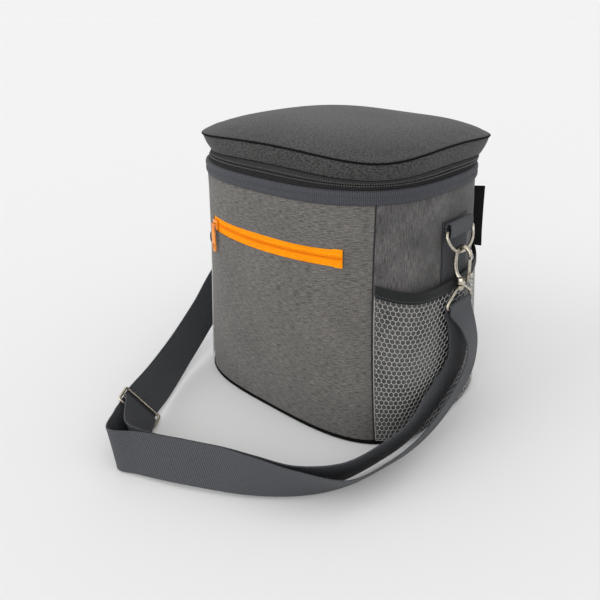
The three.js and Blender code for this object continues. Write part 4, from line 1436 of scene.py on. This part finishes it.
@dataclass
class SideGear:
    """Mesh pocket, webbing, ring loop, ring and snap hook of one side, shaped on the right and mirrored."""

    side: Side
    bulge: float = 4.9 * MM
    lobe: float = 3.4 * MM
    band: float = 11.5 * MM
    low: float = 153 * MM
    rise: float = 13 * MM
    cell: float = 5.2 * MM
    stretch: float = 1.15
    hook: Vector = Vector((0.147, 0.002, 0.1523))
    bar: Vector = Vector((0.1394, 0.005, 0.2025))

    def build(self) -> None:
        """Makes every piece of the side."""
        self.net()
        self.binding()
        self.strip()
        self.loop()
        self.ring()
        self.snap_hook()

    def name(self, part: str) -> str:
        """The side's name before a part's."""
        return f"{self.side.label}_{part}"

    def turned(self, piece: bpy.types.Object) -> bpy.types.Object:
        """The piece on its own side."""
        return placed(piece, Matrix.Diagonal((self.side.value, 1, 1, 1))) if self.side is Side.LEFT else piece

    def standing(self, u: float, v: float) -> float:
        """How far the pocket stands off the wall, least at the hook."""
        across = math.sin(math.pi * min(max(u, 0), 1)) ** 0.7
        up = 0.36 + 0.64 * math.sin(math.pi * 0.6 * v)
        up *= lerp(1, 0.5, min(max((u - 0.5) / 0.2, 0), 1))
        return 0.4 * MM + self.bulge * across * up + self.lobe * math.sin(2 * math.pi * u) ** 2 * up

    def edge(self, u: float) -> float:
        """The height of the pocket's top edge."""
        return self.low + self.rise * (2 * u - 1) ** 2

    def pocket(self, u: float, v: float, out: float = 0.0) -> Vector:
        """A point of the pocket's net."""
        z = lerp(6 * MM, self.edge(u) - self.band + 1 * MM, v)
        return BODY.point(BODY.wall(0, u, z, 0.8), z, -self.standing(u, v) - out)

    def net(self) -> None:
        """Six-sided cells laid flat, drawn onto the pocket and turned into threads."""
        wide, tall = 0.192, 0.142
        deselect()
        bpy.ops.mesh.primitive_circle_add(vertices=6, radius=self.cell / math.sqrt(3), fill_type="NGON")
        unit = bpy.context.object
        rows = int(tall / (self.cell * math.sqrt(3) / 2)) + 2
        columns = int(wide / self.cell / self.stretch) + 2
        places = []
        for j in range(rows):
            for i in range(columns):
                x = (i + 0.5 * (j % 2)) * self.cell
                places.append(Matrix.Translation((x, j * self.cell * math.sqrt(3) / 2, 0)))
        piece = repeated(self.name("net"), unit, places)
        edited(piece, weld(0.15 * MM))
        for vertex in piece.data.vertices:
            u = min(max(vertex.co.x * self.stretch / wide, 0), 1)
            v = min(max(vertex.co.y / tall, 0), 1)
            vertex.co = self.pocket(u, v, 0.5 * MM)
        edited(piece, weld(0.3 * MM), lambda: bpy.ops.mesh.dissolve_degenerate(threshold=0.1 * MM))
        shaped(piece, "WIREFRAME", thickness=0.58 * MM, use_even_offset=False, use_boundary=True)
        settled(self.turned(piece), 80)
        dress(piece, NET_YARN, "bag", [self.name("mesh_pocket")])

    def binding(self) -> None:
        """The elastic along the pocket's top and its stitches."""

        def place(u: float, v: float) -> Vector:
            z = self.edge(u) - self.band * (1 - v)
            roll = 0.5 * MM * math.sin(math.pi * v) + 0.25 * MM * wobble(Vector((u * 0.2, z * 0.2, 0)), 0.006)
            return BODY.point(BODY.wall(0, u, z, 0.8), z, -self.standing(u, 1) - 1.3 * MM - roll)

        piece = sheet_of(self.name("pocket_elastic"), spaced(0, 1, 90), spaced(0, 1, 8), place)
        cloth_of(piece, 1.7 * MM, 0.4 * MM)
        dress(self.turned(piece), ELASTIC, "bag", [self.name("mesh_binding")])

        def line(t: float) -> Vector:
            return place(t, 0.24) + away(place(t, 0.24)) * 0.1 * MM

        row = stitches(self.name("pocket_stitches"), line, away, 3 * MM)
        dress(self.turned(row), GREY_THREAD, "bag")

    def strip(self) -> None:
        """The upright webbing and a row of stitches at each edge."""

        def place(y: float, z: float) -> Vector:
            return BODY.point(BODY.side_angle(y, z), z, -1.7 * MM)

        across, up = spaced(-0.016, 0.032, 16), spaced(6 * MM, 211 * MM, 60)
        piece = sheet_of(self.name("side_webbing"), across, up, place)
        cloth_of(piece, 1.3 * MM, 0.4 * MM)
        dress(self.turned(piece), SIDE_TAPE, "bag", [self.name("webbing_strip")])
        for index, y in enumerate((-0.0135, 0.0295)):

            def line(t: float) -> Vector:
                return place(y, lerp(8 * MM, 209 * MM, t)) + Vector((0.1 * MM, 0, 0))

            row = stitches(self.name(f"strip_stitches_{index}"), line, away, 3.4 * MM)
            dress(self.turned(row), GREY_THREAD, "bag")

    def loop(self) -> None:
        """The webbing tunnel that holds the ring's bar."""

        def place(y: float, turn: float) -> Vector:
            c, s = math.cos(math.radians(turn)), math.sin(math.radians(turn))
            x = 3.55 * MM * math.copysign(abs(c) ** 0.7, c)
            z = 8 * MM * math.copysign(abs(s) ** 0.7, s)
            soft = 0.25 * MM * wobble(Vector((y, turn * 0.0002, 0)), 0.012, 4)
            return Vector((self.bar.x + x + soft, y, 0.2032 + z))

        piece = sheet_of(self.name("loop_webbing"), spaced(-0.0155, 0.0255, 18), spaced(-180, 180, 44), place)
        edited(piece, weld(0.02 * MM))
        cloth_of(piece, 1.2 * MM, 0.35 * MM)
        dress(self.turned(piece), STRAP_TAPE, "bag", [self.name("ring_loop")])

    def ring(self) -> None:
        """The D-shaped ring."""
        tilt = Matrix.Translation(self.bar) @ Matrix.Rotation(math.radians(-17.5), 4, "Y")
        half, drop = 24.5 * MM, 22.4 * MM
        line = [Vector((0, lerp(-half + 2 * MM, half - 2 * MM, i / 10), 0)) for i in range(11)]
        for i in range(1, 32):
            turn = math.pi * i / 32
            line.append(Vector((0, half * math.cos(turn), -drop * math.sin(turn) ** 0.8)))
        piece = tube_of(self.name("ring_piece"), [tilt @ p for p in line], 1.65 * MM, True, 5)
        dress(self.turned(piece), NICKEL, self.name("ring"), [self.name("ring")])

    def snap_hook(self) -> None:
        """The hook's bow, collar, gate and swivel eye."""
        rising = ((0, -1), (-1.2, 1), (-4, 3.5), (-6.8, 11), (-7.2, 21), (-5.6, 29.5))
        path = (*rising, (0, 33.6), (6, 30.4), (7.8, 25))
        line = catmull([Vector((x * MM, 0, z * MM)) for x, z in path], 6)
        share = [1.1 - 0.12 * i / len(line) for i in range(len(line))]
        share[-1] = 0.8
        bow = tube_of("bow", line, 2.1 * MM, False, 5, share)
        rings = [(1.6, -4.9), (3.6, -4.6), (4.4, -3.9), (4.4, 1.6), (3.9, 2.3), (2.2, 2.6)]
        collar = turned_post("collar", in_mm(rings))
        stem = [(1.6, -11.5), (2.3, -11.2), (2.3, -10.6), (1.3, -10.4), (1.3, -4.2)]
        pin = turned_post("pin", in_mm(stem), 16)
        mount = rounded_block("mount", (6.6 * MM, 1.6 * MM, 3.6 * MM), (5.6 * MM, 0, 1.3 * MM), 0.4 * MM)
        piece = joined(self.name("hook_piece"), bow, collar, pin, mount)
        piece = placed(piece, Matrix.Translation(self.hook))
        finished(self.turned(piece))
        dress(piece, NICKEL, self.name("hook"), [self.name("hook")])
        blade = rounded_block("blade", (2.4 * MM, 4.2 * MM, 18.2 * MM), (7.6 * MM, 0, 13.4 * MM), 0.7 * MM)
        prongs = [
            rounded_block("prong", (2.4 * MM, 0.9 * MM, 5 * MM), (7.6 * MM, y * MM, 2.4 * MM), 0.3 * MM)
            for y in (-1.65, 1.65)
        ]
        thumb = rounded_block("thumb", (3.6 * MM, 4.2 * MM, 2.3 * MM), (10 * MM, 0, 8 * MM), 0.8 * MM)
        gate = joined(self.name("gate_piece"), blade, *prongs, thumb)
        finished(self.turned(placed(gate, Matrix.Translation(self.hook))))
        dress(gate, NICKEL, self.name("gate"), [self.name("hook_gate")])
        half, top, foot = 22.6, -7.8, -24.3
        side = [
            (3, top),
            (8, top - 1.2),
            (half - 1.5, foot + 6),
            (half, foot + 3),
            (half - 0.8, foot + 0.9),
            (half - 3, foot),
        ]
        outline = [*side, *[(-y, z) for y, z in reversed(side)]]
        ring = tube_of("eye", [Vector((0, y * MM, z * MM)) for y, z in outline], 1.6 * MM, True, 5)
        boss = [(2.4, -2.2), (3.4, -1.9), (3.4, 1.9), (2.4, 2.2)]
        knob = turned_post("boss", in_mm(boss))
        knob = placed(knob, Matrix.Translation((0, 0, top * MM)))
        eye = placed(joined(self.name("eye_piece"), ring, knob), Matrix.Translation(self.hook))
        finished(self.turned(eye))
        dress(eye, NICKEL, self.name("eye"), [self.name("swivel_eye")])


# ---------------------------------------------------------------- strap


Stations = tuple[tuple[tuple[float, float, float], tuple[float, float, float]], ...]

UPPER_RUN: Stations = (
    ((-0.1498, 0.022, 0.127), (-0.1498, -0.018, 0.127)),
    ((-0.152, 0.019, 0.108), (-0.153, -0.02, 0.11)),
    ((-0.158, -0.008, 0.074), (-0.167, -0.041, 0.099)),
    ((-0.154, -0.062, 0.027), (-0.165, -0.079, 0.062)),
    ((-0.13, -0.117, 0.008), (-0.149, -0.122, 0.043)),
    ((-0.098, -0.169, 0.003), (-0.119, -0.178, 0.036)),
    ((-0.0793, -0.1991, 0.0045), (-0.0987, -0.2155, 0.0353)),
    ((-0.0731, -0.2086, 0.0034), (-0.0925, -0.225, 0.0342)),
)
OUTER_RUN: Stations = (
    ((-0.0725, -0.2096, 0.0033), (-0.0919, -0.226, 0.034)),
    ((-0.0663, -0.2191, 0.0021), (-0.0857, -0.2355, 0.0329)),
    ((-0.057, -0.24, 0.0015), (-0.072, -0.248, 0.037)),
    ((-0.041, -0.268, 0.0015), (-0.051, -0.267, 0.04)),
    ((-0.02, -0.262, 0.003), (-0.023, -0.252, 0.041)),
    ((0.012, -0.25, 0.0045), (0.011, -0.236, 0.041)),
    ((0.048, -0.233, 0.005), (0.046, -0.222, 0.042)),
    ((0.081, -0.214, 0.005), (0.081, -0.213, 0.043)),
    ((0.113, -0.187, 0.004), (0.118, -0.2, 0.041)),
    ((0.133, -0.153, 0.002), (0.151, -0.172, 0.031)),
    ((0.145, -0.112, 0.002), (0.164, -0.13, 0.031)),
    ((0.152, -0.072, 0.003), (0.168, -0.092, 0.034)),
    ((0.154, -0.034, 0.008), (0.166, -0.06, 0.038)),
    ((0.156, -0.004, 0.022), (0.165, -0.038, 0.045)),
    ((0.158, 0.024, 0.046), (0.165, -0.013, 0.062)),
    ((0.157, 0.031, 0.076), (0.166, -0.007, 0.086)),
    ((0.153, 0.027, 0.104), (0.159, -0.012, 0.109)),
    ((0.1499, 0.022, 0.122), (0.15, -0.018, 0.122)),
    ((0.1497, 0.022, 0.128), (0.1497, -0.018, 0.128)),
    ((0.14895, 0.022, 0.12995), (0.14895, -0.018, 0.12995)),
    ((0.147, 0.022, 0.13075), (0.147, -0.018, 0.13075)),
)
INNER_RUN: Stations = (
    ((-0.0693, -0.2072, 0.0065), (-0.0887, -0.2236, 0.0373)),
    ((-0.057, -0.222, 0.002), (-0.074, -0.235, 0.036)),
    ((-0.038, -0.246, 0.0023), (-0.044, -0.251, 0.0388)),
    ((-0.016, -0.255, 0.0023), (-0.019, -0.246, 0.0388)),
    ((0.014, -0.245, 0.0022), (0.013, -0.231, 0.0384)),
    ((0.05, -0.228, 0.0022), (0.048, -0.217, 0.0394)),
    ((0.08, -0.209, 0.0021), (0.079, -0.208, 0.0403)),
    ((0.108, -0.183, 0.0021), (0.111, -0.195, 0.0393)),
    ((0.127, -0.15, 0.0024), (0.139, -0.165, 0.038)),
    ((0.138, -0.111, 0.004), (0.151, -0.125, 0.04)),
    ((0.145, -0.074, 0.008), (0.155, -0.092, 0.043)),
    ((0.148, -0.038, 0.02), (0.152, -0.06, 0.053)),
    ((0.1495, -0.004, 0.036), (0.1495, -0.036, 0.062)),
    ((0.149, 0.022, 0.056), (0.1495, -0.017, 0.073)),
    ((0.1473, 0.027, 0.082), (0.1478, -0.012, 0.091)),
    ((0.1454, 0.024, 0.108), (0.146, -0.016, 0.112)),
    ((0.1446, 0.022, 0.12), (0.1446, -0.018, 0.121)),
    ((0.1444, 0.022, 0.1275), (0.1444, -0.018, 0.1275)),
)


@dataclass
class StrapRun:
    """One free run of the shoulder webbing, laid through its stations."""

    name: str
    node: str
    stations: Stations
    width: float = 40 * MM
    thick: float = 1.4 * MM
    per_span: int = 8

    def lines(self) -> tuple[list[Vector], list[Vector]]:
        """The lower and the upper edge's points."""
        lower, upper = (catmull([Vector(s[k]) for s in self.stations], self.per_span) for k in (0, 1))
        return lower, upper

    def centre(self) -> list[Vector]:
        """The centreline's points."""
        lower, upper = self.lines()
        return [(a + b) / 2 for a, b in zip(lower, upper)]

    def length(self) -> float:
        """The centreline's length."""
        line = self.centre()
        return sum((b - a).length for a, b in zip(line, line[1:]))

    def build(self) -> bpy.types.Object:
        """The webbing as a ribbon with selvedges."""
        lower, upper = self.lines()
        centre = self.centre()
        last = len(centre) - 1
        sides = [-1, -0.97, -0.9, -0.85, -0.6, -0.3, 0, 0.3, 0.6, 0.85, 0.9, 0.97, 1]

        def place(step: float, side: float) -> Vector:
            i = round(step)
            across = (upper[i] - lower[i]).normalized()
            along = (centre[min(i + 1, last)] - centre[max(i - 1, 0)]).normalized()
            out = along.cross(across).normalized()
            lift = 0.12 * MM if 0.88 < abs(side) < 0.99 else 0.0
            return centre[i] + across * (side * self.width / 2) + out * (self.thick / 2 + lift)

        piece = sheet_of(self.name, range(last + 1), sides, place)
        cloth_of(piece, self.thick, 0.4 * MM)
        dress(piece, STRAP_TAPE, "bag", [self.node])
        LOG.info("%s: %.1f mm of webbing", self.name, self.length() / MM)
        return piece


@dataclass
class Strap:
    """The three runs and the sliding adjuster; each run logs its length."""

    frame: dict

    def build(self) -> None:
        """Makes the adjuster and lays the runs."""
        self.adjuster()
        runs = (
            (StrapRun("strap_upper_webbing", "strap_upper_run", UPPER_RUN), "object"),
            (StrapRun("strap_outer_webbing", "strap_outer_run", OUTER_RUN), "object"),
            (StrapRun("strap_inner_webbing", "strap_inner_run", INNER_RUN), "object"),
        )
        for run, far_end in runs:
            piece = run.build()
            line = run.centre()
            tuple(line[0])
            run.length()

    def adjuster(self) -> None:
        """The wire frame with a middle bar between the layers."""
        across = Vector((-19.4, -16.4, 30.8)).normalized()
        fold = Vector((0.54, -0.836, -0.1))
        off = across.cross(fold).normalized()
        along = off.cross(across)
        origin = Vector((-0.0825, -0.2173, 0.0187)) + off * 2.6 * MM
        place = Matrix.Translation(origin) @ Matrix((across, along, off)).transposed().to_4x4()
        half, reach, corner = 23 * MM, 8.5 * MM, 2.2 * MM
        outline = []
        for sx, sy, first in ((1, 1, 0), (-1, 1, 90), (-1, -1, 180), (1, -1, 270)):
            for step in range(5):
                turn = math.radians(first + 22.5 * step)
                x = sx * (half - corner) + corner * math.cos(turn)
                y = sy * (reach - corner) + corner * math.sin(turn)
                outline.append(Vector((x, y, 0)))
        ring = tube_of("frame_wire", outline, 1.5 * MM, True, 5)
        bar = tube_of("bar", [Vector((lerp(-half, half, i / 6), 0, 0)) for i in range(7)], 1.3 * MM, False, 5)
        piece = placed(joined("strap_adjuster_piece", ring, bar), place)
        finished(piece)
        dress(piece, NICKEL, "adjuster", ["strap_adjuster"])


# ---------------------------------------------------------------- label


@dataclass
class Label:
    """The plain black tab in the seam behind the right side."""

    low: float = 155 * MM
    high: float = 221 * MM
    reach: float = 13 * MM

    def build(self) -> None:
        """Makes the tab, its lower end bent a little."""

        def place(v: float, u: float) -> Vector:
            z = lerp(self.low, self.high, v)
            seam = BODY.point(BODY.seam(z), z, -0.4 * MM)
            bend = 3.5 * MM * u * math.exp(-v * 5)
            return seam + Vector((0.8, 0.6, 0)) * u * self.reach + Vector((0.6, -0.8, 0)) * (0.6 * MM + bend)

        piece = sheet_of("plain_side_tab", spaced(0, 1, 20), spaced(0, 1, 8), place)
        shaped(piece, "SOLIDIFY", thickness=1.2 * MM, offset=0)
        shaped(piece, "BEVEL", width=0.4 * MM, segments=2, limit_method="ANGLE", angle_limit=math.radians(60))
        settled(piece)
        dress(piece, LABEL_CLOTH, "bag", ["side_label"])


# ---------------------------------------------------------------- studio


# Where each distant light shines from, and how wide it spreads in degrees.
KEY_PLACE = (-1.0, -1.4, 0.6)
KEY_SPREAD = 50
FILL_PLACE = (0.9, -1.6, 0.7)
FILL_SPREAD = 60
SUN_POWER = 1.0


@dataclass
class Studio:
    """Camera, pale floor and soft lights."""

    eye: Vector = Vector((0.3913, -0.48, 0.3831))
    target: Vector = Vector((0, 0, 0.1277))
    lens: float = 36.17
    shift: tuple = (-0.067, -0.057)
    roll: float = 0.46
    floor_size: float = 200
    floor_colour: tuple = (0.82, 0.82, 0.82, 1)
    sky: float = 0.896

    def camera(self) -> None:
        """Places the camera."""
        data = bpy.data.cameras.new("camera")
        data.lens = self.lens
        data.sensor_width = 36
        data.shift_x, data.shift_y = self.shift
        camera = bpy.data.objects.new("camera", data)
        bpy.context.scene.collection.objects.link(camera)
        turn = (self.target - self.eye).to_track_quat("-Z", "Y").to_matrix().to_4x4()
        roll = Matrix.Rotation(math.radians(self.roll), 4, "Z")
        camera.matrix_world = Matrix.Translation(self.eye) @ turn @ roll
        bpy.context.scene.camera = camera

    def light(self, name: str, place: Sequence[float], spread: float, power: float) -> None:
        """One soft distant light aimed at the bag."""
        data = bpy.data.lights.new(name, "SUN")
        data.energy = power
        data.angle = math.radians(spread)
        lamp = bpy.data.objects.new(name, data)
        bpy.context.scene.collection.objects.link(lamp)
        lamp.location = place
        lamp.rotation_euler = (self.target - Vector(place)).to_track_quat("-Z", "Y").to_euler()

    def floor(self) -> None:
        """A wide pale floor."""
        deselect()
        bpy.ops.mesh.primitive_plane_add(size=self.floor_size)
        floor = bpy.context.object
        floor.name = "floor"
        _, shader, material = started("floor_white")
        shader.inputs["Base Color"].default_value = self.floor_colour
        shader.inputs["Roughness"].default_value = 0.9
        floor.data.materials.append(material)

    def build(self) -> None:
        """Sets the whole studio."""
        self.camera()
        self.floor()
        self.light("key", KEY_PLACE, KEY_SPREAD, SUN_POWER)
        self.light("fill", FILL_PLACE, FILL_SPREAD, SUN_POWER)
        world = bpy.data.worlds.new("pale")
        world.use_nodes = True
        world.node_tree.nodes["Background"].inputs[0].default_value = (1, 1, 1, 1)
        world.node_tree.nodes["Background"].inputs[1].default_value = self.sky
        bpy.context.scene.world = world
        bpy.context.scene.view_settings.view_transform = "Standard"


def main() -> None:
    """Builds the whole bag round the frame."""
    logging.basicConfig(level=logging.INFO, format="%(message)s")
    for piece in list(bpy.data.objects):
        bpy.data.objects.remove(piece)
    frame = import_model()
    Studio().build()
    Strap(frame).build()
    Shell(frame).build()
    Rim().build()
    Lid(frame).build()
    MainZip().build()
    FrontPocket(frame).build()
    for side in Side:
        SideGear(side).build()
    Label().build()


if __name__ == "__main__":
    main()
